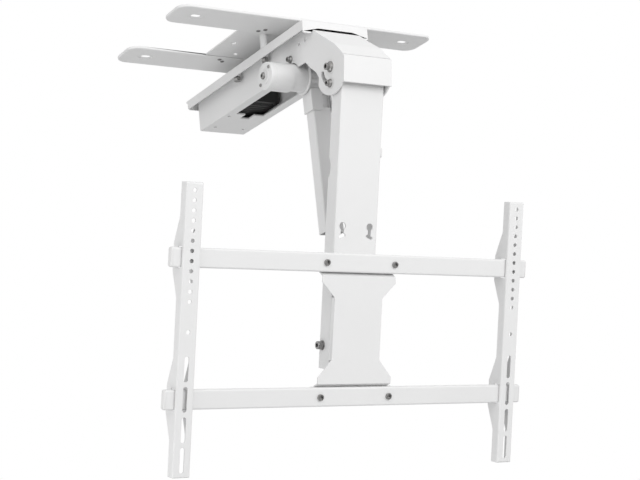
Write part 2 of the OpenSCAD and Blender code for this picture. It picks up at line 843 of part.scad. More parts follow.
// The side outline of a post's flange: a round ear about the pivot, a scallop and a plain tail
module flange_2d() {
    difference() {
        polygon(concat(
            [[-post_front, -post_l], [-post_front, 0]],
            arc_points(0, 0, ear_r, ear_start_angle, ear_end_angle, 16),
            [[-post_rear, -ear_tail], [-post_rear, -post_l]]));
        translate([-post_rear - scallop_depth + scallop_r, -scallop_u]) circle(scallop_r);
    }
}
module key_2d() {
    circle(d = key_round_d);
    translate([0, -key_drop / 2]) square([key_neck_w, key_drop], center = true);
    translate([0, -key_drop]) rotate(key_turn) slot_2d(key_slot_l, key_slot_w);
}
module post() {
    color("white") difference() {
        in_post() {
            both_sides() slab_x(post_in, post_side) flange_2d();
            slab_y(-post_front, -post_front + post_t) translate([-post_side + over, -post_l])
                square([2 * (post_side - over), post_l]);
        }
        both_sides() rod_x(post_in - over, post_side + over, -pivot_y, pivot_z,
                           pivot_shank_d + 2 * fit + 2 * bush_wall);
        in_post() {
            rod_x(-post_side - over, post_side + over, -guide_r, -guide_u, guide_shank_d);
            rod_x(-post_side - over, post_side + over, -pin_r, -pin_u, pin_bolt_d);
            both_sides() slab_y(-post_front - over, -post_front + post_t + over)
                translate([key_x, -key_u]) key_2d();
        }
    }
}
module post_side_clip() {
    color("white") in_post() slab_x(post_side, post_side + clip_h)
        translate([-post_front / 2 - post_rear / 2, -clip_u]) round_rect(clip_w, clip_l, clip_r);
}
module rod_pin_bolts() {
    color("silver") both_sides() in_post() {
        rod_x(post_in, post_side + pin_washer_t, -pin_r, -pin_u, pin_bolt_d);
        rod_x(post_side, post_side + pin_washer_t, -pin_r, -pin_u, pin_washer_d);
        hex_x(post_side + pin_washer_t, post_side + pin_washer_t + pin_bolt_head_h, -pin_r, -pin_u, pin_bolt_head_d);
    }
}

// Screen bracket

module post_spacers() {
    low_mid = -spacer_low_u;
    color("white") in_bracket() {
        slab_y(plate_back, post_plane) translate([0, -bar_top]) difference() {
            square([spacer_pad_w, spacer_pad_h], center = true);
            for (i = [-1, 1]) translate([i * bar_screw_x, 0]) circle(d = bar_screw_d);
        }
        difference() {
            slab_y(plate_web + plate_t, post_plane) translate([0, low_mid])
                square([spacer_pad_w, spacer_low_h], center = true);
            slab_y(plate_web + plate_t + spacer_low_t, post_plane + over) translate([0, low_mid])
                square([spacer_pad_w - 2 * spacer_low_t, spacer_low_h - 2 * spacer_low_t], center = true);
        }
    }
}
// The front outline of the screen plate, an hourglass
module plate_2d() {
    top = -bar_top + bar_h / 2;
    low = -bar_low - bar_h / 2;
    polygon([for (s = [[1, 0], [1, 1], [1, 2], [1, 3], [1, 4], [1, 5], [1, 6],
                       [-1, 6], [-1, 5], [-1, 4], [-1, 3], [-1, 2], [-1, 1], [-1, 0]])
        let (x = [plate_w / 2, plate_w / 2, plate_w / 2 - plate_chamfer, waist_w / 2, waist_w / 2,
                  plate_w / 2 - plate_chamfer, plate_w / 2][s[1]],
             z = [top, top - bar_h - plate_end_h + plate_chamfer, top - bar_h - plate_end_h,
                  top - bar_h - waist_top, low + bar_h + waist_bottom, low + bar_h + plate_end_h, low + bar_h + plate_chamfer][s[1]])
        [s[0] * x, z]]);
    translate([0, low + (bar_h + plate_chamfer) / 2]) square([plate_w, bar_h + plate_chamfer], center = true);
}
// The side outline of the plate's sheet: its ends step back behind the bars
module plate_side_2d() {
    top = -bar_top + bar_h / 2;
    low = -bar_low - bar_h / 2;
    knee_top = top - bar_h - gap;
    knee_low = low + bar_h + gap;
    polygon([[bar_back, top], [bar_back, knee_top], [plate_web, knee_top - joggle_ramp],
             [plate_web, knee_low + joggle_ramp], [bar_back, knee_low], [bar_back, low],
             [plate_back, low], [plate_back, knee_low + plate_t / 2], [plate_web + plate_t, knee_low + joggle_ramp + plate_t / 2],
             [plate_web + plate_t, knee_top - joggle_ramp - plate_t / 2], [plate_back, knee_top - plate_t / 2], [plate_back, top]]);
}
module vesa_plate() {
    waist_z0 = -bar_low + bar_h / 2 + waist_bottom;
    waist_z1 = -bar_top - bar_h / 2 - waist_top;
    color("white") in_bracket() {
        difference() {
            intersection() {
                slab_x(-plate_w / 2, plate_w / 2) plate_side_2d();
                slab_y(0, plate_back + over) plate_2d();
            }
            for (i = [-1, 1], z = [-bar_top, -bar_low])
                translate([i * bar_screw_x, 0, z]) slab_y(0, plate_back + over) circle(d = bar_screw_d);
        }
        both_sides() translate([waist_w / 2 - plate_t, plate_web, waist_z0])
            cube([plate_t, joggle, waist_z1 - waist_z0]);
    }
}
// A crossbar: a flat tube with two screw holes
module crossbar(mid) {
    color("white") in_bracket() translate([0, 0, -mid]) difference() {
        slab_x(-bar_l / 2, bar_l / 2) translate([bar_set + bar_d / 2, 0]) difference() {
            round_rect(bar_d, bar_h, bar_round);
            round_rect(bar_d - 2 * bar_wall, bar_h - 2 * bar_wall, bar_round - bar_wall / 2);
        }
        for (i = [-1, 1]) translate([i * bar_screw_x, 0, 0])
            slab_y(bar_set - over, bar_back + over) circle(d = bar_screw_d);
    }
}
module crossbar_upper() crossbar(bar_top);
module crossbar_lower() crossbar(bar_low);
module bar_end_caps() {
    color("white") in_bracket() for (z = [-bar_top, -bar_low]) both_sides()
        translate([0, bar_set + bar_d / 2, z]) {
            slab_x(bar_l / 2, bar_l / 2 + cap_l) round_rect(bar_d, bar_h, cap_round);
            slab_x(bar_l / 2 - cap_plug_l, bar_l / 2)
                square([bar_d - 2 * bar_wall - 2 * cap_side, bar_h - 2 * bar_wall - 2 * cap_side], center = true);
        }
}
module bar_screws() {
    color("silver") in_bracket() for (i = [-1, 1], z = [-bar_top, -bar_low])
        translate([i * bar_screw_x, 0, z]) {
            slab_y(bar_set, plate_back) circle(d = bar_screw_d);
            slab_y(bar_set - bar_screw_head_h, bar_set) circle(d = bar_screw_head_d);
        }
}
// The side outline of an upright's flange, deep beside each bar
module upright_side_2d() {
    half = bar_h / 2 + bulge_flat;
    difference() {
        union() {
            translate([0, -upright_h]) square([upright_d, upright_h]);
            for (m = [bar_top, bar_low])
                polygon([[upright_d, -m + half + bulge_ramp], [bulge_d, -m + half],
                         [bulge_d, -m - half], [upright_d, -m - half - bulge_ramp],
                         [upright_d - over, -m - half - bulge_ramp], [upright_d - over, -m + half + bulge_ramp]]);
        }
        for (m = [bar_top, bar_low]) translate([bar_set + bar_d / 2, -m])
            square([bar_d + 2 * window_gap, bar_h + 2 * window_gap], center = true);
    }
}
module upright_face_2d() {
    difference() {
        translate([-upright_w / 2, -upright_h]) square([upright_w, upright_h]);
        for (i = [0:hole_count - 1]) translate([0, -hole_top - i * hole_pitch]) circle(d = hole_d);
        translate([0, -hole_top - lone_hole]) circle(d = hole_d);
        for (i = [0:slot_count - 1]) translate([0, -hole_top - pattern_h + i * slot_pitch])
            rotate(90) slot_2d(slot_l, slot_w);
    }
}
module upright(x) {
    color("white") in_bracket() translate([x, 0, 0]) {
        slab_y(0, upright_t) upright_face_2d();
        both_sides() slab_x(upright_w / 2 - upright_t, upright_w / 2) upright_side_2d();
    }
}
module upright_left() upright(-upright_pitch / 2);
module upright_right() upright(upright_pitch / 2);

// Drive

// The motor's case is larger than its neck and hangs a little below the neck's axis
module in_case() {
    in_drive() translate([0, 0, -can_shift]) children();
}
module motor_case() {
    color("gainsboro") {
        in_drive() rod_x(-can_start, -gear_w / 2, 0, 0, motor_d);
        in_case() rod_x(-motor_end + motor_cap_l, -can_start, 0, 0, can_d);
    }
}
module motor_end_cap() {
    color("lightgray") in_case() {
        rod_x(-motor_end, -motor_end + motor_cap_l, 0, 0, can_d);
        rod_x(-motor_end - motor_boss_l, -motor_end, 0, 0, motor_boss_d);
        rod_x(-motor_end - motor_boss_l - motor_stud_l, -motor_end - motor_boss_l, 0, 0, motor_stud_d);
        difference() {
            rod_x(-motor_end - motor_crescent_l, -motor_end, 0, 0, 2 * motor_crescent_r);
            rod_x(-motor_end - motor_boss_l, -motor_end, 0, 0, 2 * (motor_crescent_r - motor_crescent_w));
            translate([-motor_end - motor_boss_l, 0, -motor_d]) cube([motor_boss_l, motor_d, 2 * motor_d]);
        }
    }
}
module motor_screws() {
    color("silver") in_case() for (a = [motor_screw_turn, motor_screw_turn + half_turn]) rotate([a, 0, 0])
        rod_x(-motor_end - motor_screw_head_h, -motor_end, motor_screw_r, 0, motor_screw_head_d);
}
module gear_housing() {
    color("gainsboro") in_drive() difference() {
        union() {
            rod_x(-gear_w / 2, gear_w / 2, 0, 0, 2 * gear_r);
            slab_z(-neck_end, 0) round_rect(rail_w, rail_d, rail_bend);
        }
        rod_x(gear_w / 2 - trunnion_depth, gear_w / 2 + over, 0, 0, trunnion_d);
        slab_z(-neck_end - over, -screw_start) circle(d = screw_d + 2 * fit);
        slab_z(-neck_end - over, -neck_end + bearing_h) circle(d = bearing_d);
    }
}
module screw_bearing() {
    color("silver") in_drive() slab_z(-neck_end, -neck_end + bearing_h) difference() {
        circle(d = bearing_d);
        circle(d = screw_d + 2 * fit);
    }
}
module gear_collar() {
    half = rail_w / 2 + collar_t;
    low = -neck_end - collar_lap;
    color("white") in_drive() difference() {
        union() {
            both_sides() slab_x(rail_w / 2, half) translate([-rail_d / 2 - collar_t, low])
                square([rail_d + collar_t, -low - collar_top]);
            slab_y(-rail_d / 2 - collar_t, -rail_d / 2) difference() {
                translate([-half, low]) square([2 * half, -low - collar_top]);
                translate([collar_tongue_x, low - over]) square([half, collar_step + over]);
                translate([collar_tongue_x - collar_round, low - over]) difference() {
                    square([collar_round + over, collar_round + over]);
                    translate([0, collar_round + over]) circle(collar_round);
                }
            }
        }
        rod_x(-gear_w, gear_w, 0, 0, 2 * gear_r);
    }
}
module trunnion_pin() {
    color("silver") in_drive() {
        rod_x(gear_w / 2 - trunnion_depth, hanger_in + hanger_t + gap, 0, 0, trunnion_d);
        rod_x(hanger_in + hanger_t + gap, hanger_in + hanger_t + gap + trunnion_head_h, 0, 0, trunnion_head_d);
    }
}
module rail() {
    color("white") in_drive() slab_z(-rail_end, -neck_end) difference() {
        round_rect(rail_w, rail_d, rail_bend);
        square([rail_w - 2 * rail_t, rail_d - 2 * rail_t], center = true);
    }
}
module rail_bush() {
    color("black") in_drive() difference() {
        slab_z(-rail_end + rail_bush_in, -rail_end + rail_bush_in + rail_bush_l)
            square([rail_w - 2 * rail_t, rail_d - 2 * rail_t], center = true);
        slab_z(-rail_end, -rail_end + rail_bush_in + rail_bush_l + over) circle(d = rod_d + 2 * fit);
    }
}
module lead_screw() {
    color("silver") in_drive() slab_z(-screw_end, -screw_start) circle(d = screw_d);
}
module drive_nut() {
    color("black") in_drive() slab_z(-nut_start - nut_h, -nut_start) difference() {
        square([rail_w - 2 * rail_t - 2 * gap, rail_d - 2 * rail_t - 2 * gap], center = true);
        circle(d = screw_d + 2 * fit);
    }
}
module rod() {
    top = -nut_start - nut_h;
    color("silver") in_drive() difference() {
        slab_z(-drive_len + eye_seat, top) circle(d = rod_d);
        slab_z(top - rod_bore_l, top + over) circle(d = rod_bore_d);
    }
}
module rod_eye() {
    color("silver") in_drive() translate([0, 0, -drive_len]) difference() {
        union() {
            rod_x(-eye_w / 2, eye_w / 2, 0, 0, 2 * eye_r);
            slab_z(0, eye_socket_l) circle(d = eye_socket_d);
        }
        rod_x(-eye_w, eye_w, 0, 0, pin_d);
        slab_z(eye_seat, eye_socket_l + over) circle(d = rod_d);
    }
}
module rod_pin() {
    color("silver") in_drive() rod_x(-post_in + pin_end_gap, post_in - pin_end_gap, 0, -drive_len, pin_d);
}

front_wing();
rear_wing();
centre_plate();
wing_screws();
standoffs();
tray();
tray_bolts();
channel();
hood_cover();
hanger_bracket();
cross_bolt();
cross_nut();
control_box_base();
control_box_cover();
circuit_board();
power_inlet();
pivot_bolts();
pivot_nuts();
pivot_bushes();
post();
guide_bolts();
guide_nuts();
post_spacers();
vesa_plate();
crossbar_upper();
crossbar_lower();
bar_end_caps();
bar_screws();
rod_pin_bolts();
post_side_clip();
upright_left();
upright_right();
motor_case();
motor_end_cap();
motor_screws();
gear_housing();
gear_collar();
trunnion_pin();
rail();
rail_bush();
screw_bearing();
lead_screw();
drive_nut();
rod();
rod_eye();
rod_pin();
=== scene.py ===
# Looks of a motorized ceiling mount for a television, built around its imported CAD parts.
import json
import math

import bpy
from mathutils import Matrix, Vector


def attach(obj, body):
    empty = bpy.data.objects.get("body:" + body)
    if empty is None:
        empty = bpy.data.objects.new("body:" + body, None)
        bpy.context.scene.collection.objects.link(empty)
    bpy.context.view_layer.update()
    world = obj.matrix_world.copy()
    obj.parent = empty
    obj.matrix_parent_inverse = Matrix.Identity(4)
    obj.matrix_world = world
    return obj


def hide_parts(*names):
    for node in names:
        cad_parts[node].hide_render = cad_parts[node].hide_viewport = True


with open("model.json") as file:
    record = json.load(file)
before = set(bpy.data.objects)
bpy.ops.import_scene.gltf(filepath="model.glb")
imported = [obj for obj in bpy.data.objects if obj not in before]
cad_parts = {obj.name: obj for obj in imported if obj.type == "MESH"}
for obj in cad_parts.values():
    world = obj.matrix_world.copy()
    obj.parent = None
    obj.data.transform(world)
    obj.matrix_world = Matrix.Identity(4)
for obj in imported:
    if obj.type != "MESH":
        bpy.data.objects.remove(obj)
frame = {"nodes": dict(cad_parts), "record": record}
nodes = frame["nodes"]
bodies = frame["record"]["behaviour"]["bodies"]
bodyOf = {node: body for body, members in bodies.items() for node in members}
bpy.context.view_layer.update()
mm = 0.001
print("frame loaded:", len(nodes), "nodes")


# Shader maths

class Value:
    # A shader socket that can be used in plain arithmetic

    def __init__(self, tree, socket):
        self.tree = tree
        self.socket = socket

    def maths(self, operation, first, second):
        return self.tree.add("ShaderNodeMath", {"operation": operation}, {0: first, 1: second})

    def __add__(self, other):
        return self.maths("ADD", self, other)

    def __radd__(self, other):
        return self.maths("ADD", other, self)

    def __sub__(self, other):
        return self.maths("SUBTRACT", self, other)

    def __rsub__(self, other):
        return self.maths("SUBTRACT", other, self)

    def __mul__(self, other):
        return self.maths("MULTIPLY", self, other)

    def __rmul__(self, other):
        return self.maths("MULTIPLY", other, self)


class ShaderTree:
    # A new material and the one way that nodes are added to it

    def __init__(self, name):
        self.material = bpy.data.materials.new(name)
        self.material.use_nodes = True
        self.nodes = self.material.node_tree.nodes
        self.links = self.material.node_tree.links
        self.shader = self.nodes["Principled BSDF"]
        self.place = self.add("ShaderNodeTexCoord", {}, {}, "Object")

    def add(self, kind, settings, inputs, output=0):
        node = self.nodes.new(kind)
        for key, value in settings.items():
            setattr(node, key, value)
        for key, value in inputs.items():
            self.feed(node.inputs[key], value)
        return Value(self, node.outputs[output])

    def feed(self, socket, value):
        if isinstance(value, Value):
            self.links.new(value.socket, socket)
        else:
            socket.default_value = value

    def set(self, **values):
        for key, value in values.items():
            self.feed(self.shader.inputs[key.replace("_", " ")], value)

    def noise(self, scale, detail=2.0, roughness=0.5, stretch=None):
        place = self.place
        if stretch:
            place = self.add("ShaderNodeMapping", {}, {"Vector": place, "Scale": stretch})
        return self.add("ShaderNodeTexNoise", {}, {"Vector": place, "Scale": scale,
                                                   "Detail": detail, "Roughness": roughness}, "Fac")

    def blend(self, amount, first, second):
        return self.add("ShaderNodeMix", {"data_type": "RGBA"}, {0: amount, 6: first, 7: second}, 2)

    def bump(self, height, strength, distance):
        return self.add("ShaderNodeBump", {}, {"Strength": strength, "Distance": distance, "Height": height})


def grey(level, warm=0.0):
    return (level + warm, level, level - warm, 1.0)


whitePaint = {"level": 0.80, "dark": 0.76, "cloud": 9.0, "peel": 620.0, "grit": 2600.0,
              "rough": 0.42, "cloudRough": 0.10, "gritRough": 0.08, "bump": 0.10, "depth": 0.00025}


def makeWhiteSteel(name, look):
    # Powder coat: soft cloudy tone, orange peel and fine grit
    tree = ShaderTree(name)
    cloud = tree.noise(look["cloud"], 3.0)
    peel = tree.noise(look["peel"], 1.0)
    grit = tree.noise(look["grit"], 0.0)
    tree.set(Base_Color=tree.blend(cloud, grey(look["level"]), grey(look["dark"])),
             Roughness=look["rough"] + look["cloudRough"] * (cloud - 0.5) + look["gritRough"] * (grit - 0.5),
             Normal=tree.bump(peel * 0.75 + grit * 0.25, look["bump"], look["depth"]))
    return tree.material


zincPlate = {"level": 0.34, "dark": 0.24, "cloud": 60.0, "brush": 900.0,
             "rough": 0.20, "cloudRough": 0.18, "brushRough": 0.10, "bump": 0.15, "depth": 0.0001}


def makeZinc(name, look):
    # Plated steel: metallic, with a clouded tone and fine brushing
    tree = ShaderTree(name)
    cloud = tree.noise(look["cloud"], 4.0)
    brush = tree.noise(look["brush"], 2.0, 0.6, (1.0, 1.0, 0.15))
    tree.set(Base_Color=tree.blend(cloud, grey(look["level"]), grey(look["dark"], 0.008)),
             Metallic=1.0,
             Roughness=look["rough"] + look["cloudRough"] * cloud + look["brushRough"] * (brush - 0.5),
             Normal=tree.bump(brush, look["bump"], look["depth"]))
    return tree.material


groundSteel = {"level": 0.66, "ringShade": 0.88, "turning": 1400.0,
               "rough": 0.16, "ringRough": 0.12, "bump": 0.10, "depth": 0.00005}


def makeGroundSteel(name, look):
    # Ground rod: bright metal with fine rings round its length
    tree = ShaderTree(name)
    rings = tree.noise(look["turning"], 1.0, 0.5, (0.06, 0.06, 1.0))
    tree.set(Base_Color=tree.blend(rings, grey(look["level"]), grey(look["level"] * look["ringShade"])),
             Metallic=1.0,
             Roughness=look["rough"] + look["ringRough"] * rings,
             Normal=tree.bump(rings, look["bump"], look["depth"]))
    return tree.material


blackMoulding = {"level": 0.018, "pale": 0.030, "cloud": 25.0, "grain": 1500.0,
                 "rough": 0.52, "grainRough": 0.12, "bump": 0.25, "depth": 0.0002}


def makeBlackPlastic(name, look):
    # Moulded box: dark, with a sparked grain
    tree = ShaderTree(name)
    grain = tree.noise(look["grain"], 2.0, 0.6)
    cloud = tree.noise(look["cloud"], 2.0)
    tree.set(Base_Color=tree.blend(cloud, grey(look["level"]), grey(look["pale"])),
             Roughness=look["rough"] + look["grainRough"] * (grain - 0.5),
             Normal=tree.bump(grain, look["bump"], look["depth"]))
    return tree.material


whiteMoulding = {"level": 0.78, "dark": 0.74, "cloud": 30.0, "grain": 1100.0,
                 "rough": 0.38, "grainRough": 0.08, "bump": 0.10, "depth": 0.0001}


def makeWhitePlastic(name, look):
    # End caps: smooth moulding with a faint grain
    tree = ShaderTree(name)
    grain = tree.noise(look["grain"], 1.0)
    cloud = tree.noise(look["cloud"], 2.0)
    tree.set(Base_Color=tree.blend(cloud, grey(look["level"]), grey(look["dark"], 0.004)),
             Roughness=look["rough"] + look["grainRough"] * (grain - 0.5),
             Normal=tree.bump(grain, look["bump"], look["depth"]))
    return tree.material


boardGreen = {"mask": (0.012, 0.085, 0.035, 1.0), "copper": (0.03, 0.17, 0.07, 1.0), "tracks": 260.0,
              "trackEdge": 0.55, "rough": 0.35, "bump": 0.2, "depth": 0.0001}


def makeBoard(name, look):
    # Circuit board: solder mask with copper showing through as paler tracks
    tree = ShaderTree(name)
    cells = tree.add("ShaderNodeTexVoronoi", {"distance": "MANHATTAN", "feature": "F1"},
                     {"Vector": tree.place, "Scale": look["tracks"]}, "Distance")
    tracks = tree.add("ShaderNodeMath", {"operation": "GREATER_THAN"}, {0: cells, 1: look["trackEdge"]})
    tree.set(Base_Color=tree.blend(tracks, look["mask"], look["copper"]),
             Roughness=look["rough"],
             Normal=tree.bump(tracks, look["bump"], look["depth"]))
    return tree.material


polymer = {"color": (0.62, 0.58, 0.46, 1.0), "pale": (0.68, 0.65, 0.55, 1.0), "speckle": 900.0,
           "rough": 0.5, "speckleRough": 0.1, "bump": 0.1, "depth": 0.0001}


def makePolymer(name, look):
    # Bearing bushes: self-lubricating plastic with a speckle
    tree = ShaderTree(name)
    speckle = tree.noise(look["speckle"], 3.0)
    tree.set(Base_Color=tree.blend(speckle, look["color"], look["pale"]),
             Roughness=look["rough"] + look["speckleRough"] * speckle,
             Normal=tree.bump(speckle, look["bump"], look["depth"]))
    return tree.material


finishes = {
    "white_steel": makeWhiteSteel("whiteSteel", whitePaint),
    "motor_grey": makeWhiteSteel("motorPaint", dict(whitePaint, level=0.79, dark=0.75, rough=0.34)),
    "zinc": makeZinc("zincPlate", zincPlate),
    "ground_steel": makeGroundSteel("groundSteel", groundSteel),
    "black_plastic": makeBlackPlastic("blackMoulding", blackMoulding),
    "white_plastic": makeWhitePlastic("whiteMoulding", whiteMoulding),
    "board_green": makeBoard("boardGreen", boardGreen),
    "bearing_plastic": makePolymer("bearingPolymer", polymer),
}
slotOf = {row["node"]: row["material_slot"] for row in frame["record"]["subparts"]}
print("materials made:", len(finishes))


# The object's own axes: those of the ceiling frame, the leaning post, its bracket and the drive

lean = math.radians(15.4)
driveTurn = math.radians(-1.525)
halfTurn = math.pi
ceilingAxes = Matrix.Identity(4)
postAxes = Matrix.Translation((0.0, -246 * mm, -126 * mm)) @ Matrix.Rotation(lean, 4, "X")
bracketAxes = postAxes @ Matrix.Translation((0.0, -55.7 * mm, -197.8 * mm))
driveAxes = Matrix.Translation((0.0, -125 * mm, -103.5 * mm)) @ Matrix.Rotation(driveTurn, 4, "X")
leftRailAxes = bracketAxes @ Matrix.Translation((-300 * mm, 0.0, 0.0))
rightRailAxes = bracketAxes @ Matrix.Translation((300 * mm, 0.0, 0.0))


# Tools that every piece uses

def selectOnly(obj):
    bpy.ops.object.select_all(action="DESELECT")
    obj.select_set(True)
    bpy.context.view_layer.objects.active = obj


def applyModifiers(obj):
    selectOnly(obj)
    for modifier in list(obj.modifiers):
        bpy.ops.object.modifier_apply(modifier=modifier.name)


def dress(obj, slot, body, *replaced):
    # Gives a finished piece the material of its slot and puts it on its body, and hides the nodes that it stands for
    obj.data.materials.clear()
    obj.data.materials.append(finishes[slot])
    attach(obj, body)
    if replaced:
        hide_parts(*replaced)
    return obj


def standFor(obj, node, *others):
    # Puts a finished piece in the place of CAD nodes, with the slot and body of the first
    return dress(obj, slotOf[node], bodyOf[node], node, *others)


def mergedCopy(node, name):
    # A closed copy of a CAD part, with its flat faces joined up
    selectOnly(nodes[node])
    bpy.ops.object.duplicate()
    copy = bpy.context.object
    copy.name = name
    for key in [k for k in copy.keys() if k.startswith("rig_")]:
        del copy[key]
    copy.parent = None
    bpy.ops.object.mode_set(mode="EDIT")
    bpy.ops.mesh.select_all(action="SELECT")
    bpy.ops.mesh.remove_doubles(threshold=0.02 * mm)
    bpy.ops.mesh.dissolve_limited(angle_limit=math.radians(0.5))
    bpy.ops.object.mode_set(mode="OBJECT")
    return copy


def onLines(axes, lines):
    # A test for edges along straight lines, each given by two or more places in its own axes
    toLocal = axes.inverted()

    def lies(vertex, line):
        point = toLocal @ vertex
        for axis, place in line.items():
            value = abs(point.x) if axis == "side" else point["xyz".index(axis)]
            low, high = place if isinstance(place, tuple) else (place - 0.06, place + 0.06)
            if not low * mm <= value <= high * mm:
                return False
        return True

    return lambda first, last: any(lies(first, line) and lies(last, line) for line in lines)


def alongPath(side, path):
    # A test for edges on both sides of a part that follow a line of (y, z) places
    def near(vertex):
        if abs(abs(vertex.x) - side * mm) > 0.06 * mm:
            return False
        place = Vector((vertex.y, vertex.z))
        for (y0, z0), (y1, z1) in zip(path, path[1:]):
            start, reach = Vector((y0, z0)) * mm, Vector((y1 - y0, z1 - z0)) * mm
            share = max(0.0, min(1.0, (place - start).dot(reach) / reach.dot(reach)))
            if (start + share * reach - place).length < 0.15 * mm:
                return True
        return False

    return lambda first, last: near(first) and near(last)


def selectEdges(obj, test):
    bpy.ops.object.mode_set(mode="EDIT")
    bpy.ops.mesh.select_mode(type="EDGE")
    bpy.ops.mesh.select_all(action="DESELECT")
    bpy.ops.object.mode_set(mode="OBJECT")
    picked = 0
    for edge in obj.data.edges:
        if test(*(obj.data.vertices[index].co for index in edge.vertices)):
            edge.select = True
            picked += 1
    return picked


def roundLines(obj, radius, segments, test):
    # Rolls a sheet's bend lines to a radius
    selectOnly(obj)
    if not selectEdges(obj, test):
        print("no bend line found on", obj.name)
        return
    bpy.ops.object.mode_set(mode="EDIT")
    bpy.ops.mesh.bevel(offset=radius * mm, segments=segments, affect="EDGES", clamp_overlap=True)
    bpy.ops.object.mode_set(mode="OBJECT")


shadingLook = {"sharp": 34.0, "flatWeight": 90}


def evenShading(obj):
    # Smooth over small bends, with the large flat faces kept flat
    selectOnly(obj)
    bpy.ops.object.shade_smooth_by_angle(angle=math.radians(shadingLook["sharp"]))
    weighted = obj.modifiers.new("evenNormals", "WEIGHTED_NORMAL")
    weighted.keep_sharp = True
    weighted.weight = shadingLook["flatWeight"]
    applyModifiers(obj)


def softenEdges(obj, width, segments, angle=28.0):
    bevel = obj.modifiers.new("edges", "BEVEL")
    bevel.width = width * mm
    bevel.segments = segments
    bevel.limit_method = "ANGLE"
    bevel.angle_limit = math.radians(angle)
    bevel.use_clamp_overlap = False
    applyModifiers(obj)
    evenShading(obj)


def combine(obj, tool, operation):
    # Adds, cuts or keeps the common part of two closed shapes
    boolean = obj.modifiers.new("combine", "BOOLEAN")
    boolean.operation = operation
    boolean.solver = "EXACT"
    boolean.object = tool
    applyModifiers(obj)
    bpy.data.objects.remove(tool)
    return obj


def join(name, pieces):
    bpy.ops.object.select_all(action="DESELECT")
    for piece in pieces:
        piece.select_set(True)
    bpy.context.view_layer.objects.active = pieces[0]
    if len(pieces) > 1:
        bpy.ops.object.join()
    pieces[0].name = name
    return pieces[0]


def settle(obj, axes, at, turn=None):
    # Puts a piece that was made along +Z at its place, and leaves the object itself at the origin
    spot = axes @ Matrix.Translation(Vector(at) * mm)
    obj.matrix_world = spot @ turn if turn else spot
    selectOnly(obj)
    bpy.ops.object.transform_apply(location=True, rotation=True, scale=True)
    return obj


def copyOf(obj):
    selectOnly(obj)
    bpy.ops.object.duplicate()
    return bpy.context.object


origin = (0.0, 0.0, 0.0)
toRight = Matrix.Rotation(halfTurn / 2, 4, "Y")
toLeft = Matrix.Rotation(-halfTurn / 2, 4, "Y")
toFront = Matrix.Rotation(halfTurn / 2, 4, "X")
toFloor = Matrix.Rotation(halfTurn, 4, "X")


def lathe(name, profile, steps=48):
    # Turns a line of (radius, height) in millimetres round the Z axis into a closed solid
    mesh = bpy.data.meshes.new(name)
    mesh.from_pydata([(r * mm, 0.0, z * mm) for r, z in profile],
                     [(i, i + 1) for i in range(len(profile) - 1)], [])
    obj = bpy.data.objects.new(name, mesh)
    bpy.context.scene.collection.objects.link(obj)
    selectOnly(obj)
    bpy.ops.object.mode_set(mode="EDIT")
    bpy.ops.mesh.select_all(action="SELECT")
    bpy.ops.mesh.spin(steps=steps, angle=2 * halfTurn, center=(0.0, 0.0, 0.0), axis=(0.0, 0.0, 1.0))
    bpy.ops.mesh.select_all(action="SELECT")
    bpy.ops.mesh.remove_doubles(threshold=0.002 * mm)
    bpy.ops.mesh.normals_make_consistent(inside=False)
    bpy.ops.object.mode_set(mode="OBJECT")
    bpy.ops.object.shade_smooth_by_angle(angle=math.radians(35))
    return obj


def prism(name, sides, diameter, low, high, turn=0.0):
    bpy.ops.object.select_all(action="DESELECT")
    bpy.ops.mesh.primitive_cylinder_add(vertices=sides, radius=diameter / 2 * mm, depth=(high - low) * mm,
                                        location=(0.0, 0.0, (low + high) / 2 * mm), rotation=(0.0, 0.0, turn))
    obj = bpy.context.object
    obj.name = name
    bpy.ops.object.transform_apply(location=True, rotation=True, scale=True)
    return obj


def slab(name, low, high):
    # A block between two corners
    bpy.ops.object.select_all(action="DESELECT")
    bpy.ops.mesh.primitive_cube_add(size=1.0, location=[(a + b) / 2 * mm for a, b in zip(low, high)],
                                    scale=[(b - a) * mm for a, b in zip(low, high)])
    obj = bpy.context.object
    obj.name = name
    bpy.ops.object.transform_apply(location=True, rotation=True, scale=True)
    return obj


# Fasteners, each made along +Z with its seat at height 0

def threadLine(radius, pitch, depth, start, end):
    # The zigzag of a thread's side, from start up to end
    turns = int((end - start) / pitch)
    line = []
    for i in range(turns):
        line += [(radius, start + (i + 0.15) * pitch), (radius - depth, start + (i + 0.55) * pitch),
                 (radius - depth, start + (i + 0.65) * pitch), (radius, start + (i + 1.0) * pitch)]
    return line


def headLine(look):
    # The upper line of a head: a dome, or a cap on a domed flange
    r, h = look["head"] / 2, look["height"]
    if "cap" in look:
        cap = look["cap"] / 2
        return [(r, 0.3), (r, 0.9), (0.95 * r, 1.7), (0.86 * r, 2.5), (0.74 * r, 3.1), (cap + 0.3, 3.5),
                (cap, 3.9), (cap, h - 0.5), (cap - 0.5, h), (0.0, h)]
    dome = look.get("dome", 0.72)
    drop, inset = dome * h, dome * 0.55 * r
    arc = [i * halfTurn / 16 for i in range(9)]
    return [(r, 0.3)] + [(r - inset * (1 - math.cos(a)), h - drop * (1 - math.sin(a))) for a in arc] + [(0.0, h)]


def buttonHead(name, look):
    # A head with a hexagon socket, over a shank with a thread
    shank = look["shank"] / 2
    side = threadLine(shank, look["pitch"], 0.10 * shank, -look["length"] + 1.0, -look["plain"])
    tip = [(0.0, -look["length"]), (shank - 0.8, -look["length"]), (shank, -look["length"] + 0.8)]
    bolt = lathe(name, tip + side + [(shank, 0.0), (look["head"] / 2 - 0.3, 0.0)] + headLine(look))
    top = look["height"]
    return combine(bolt, prism("socket", 6, look["socket"], top - look["deep"], top + 1.0), "DIFFERENCE")


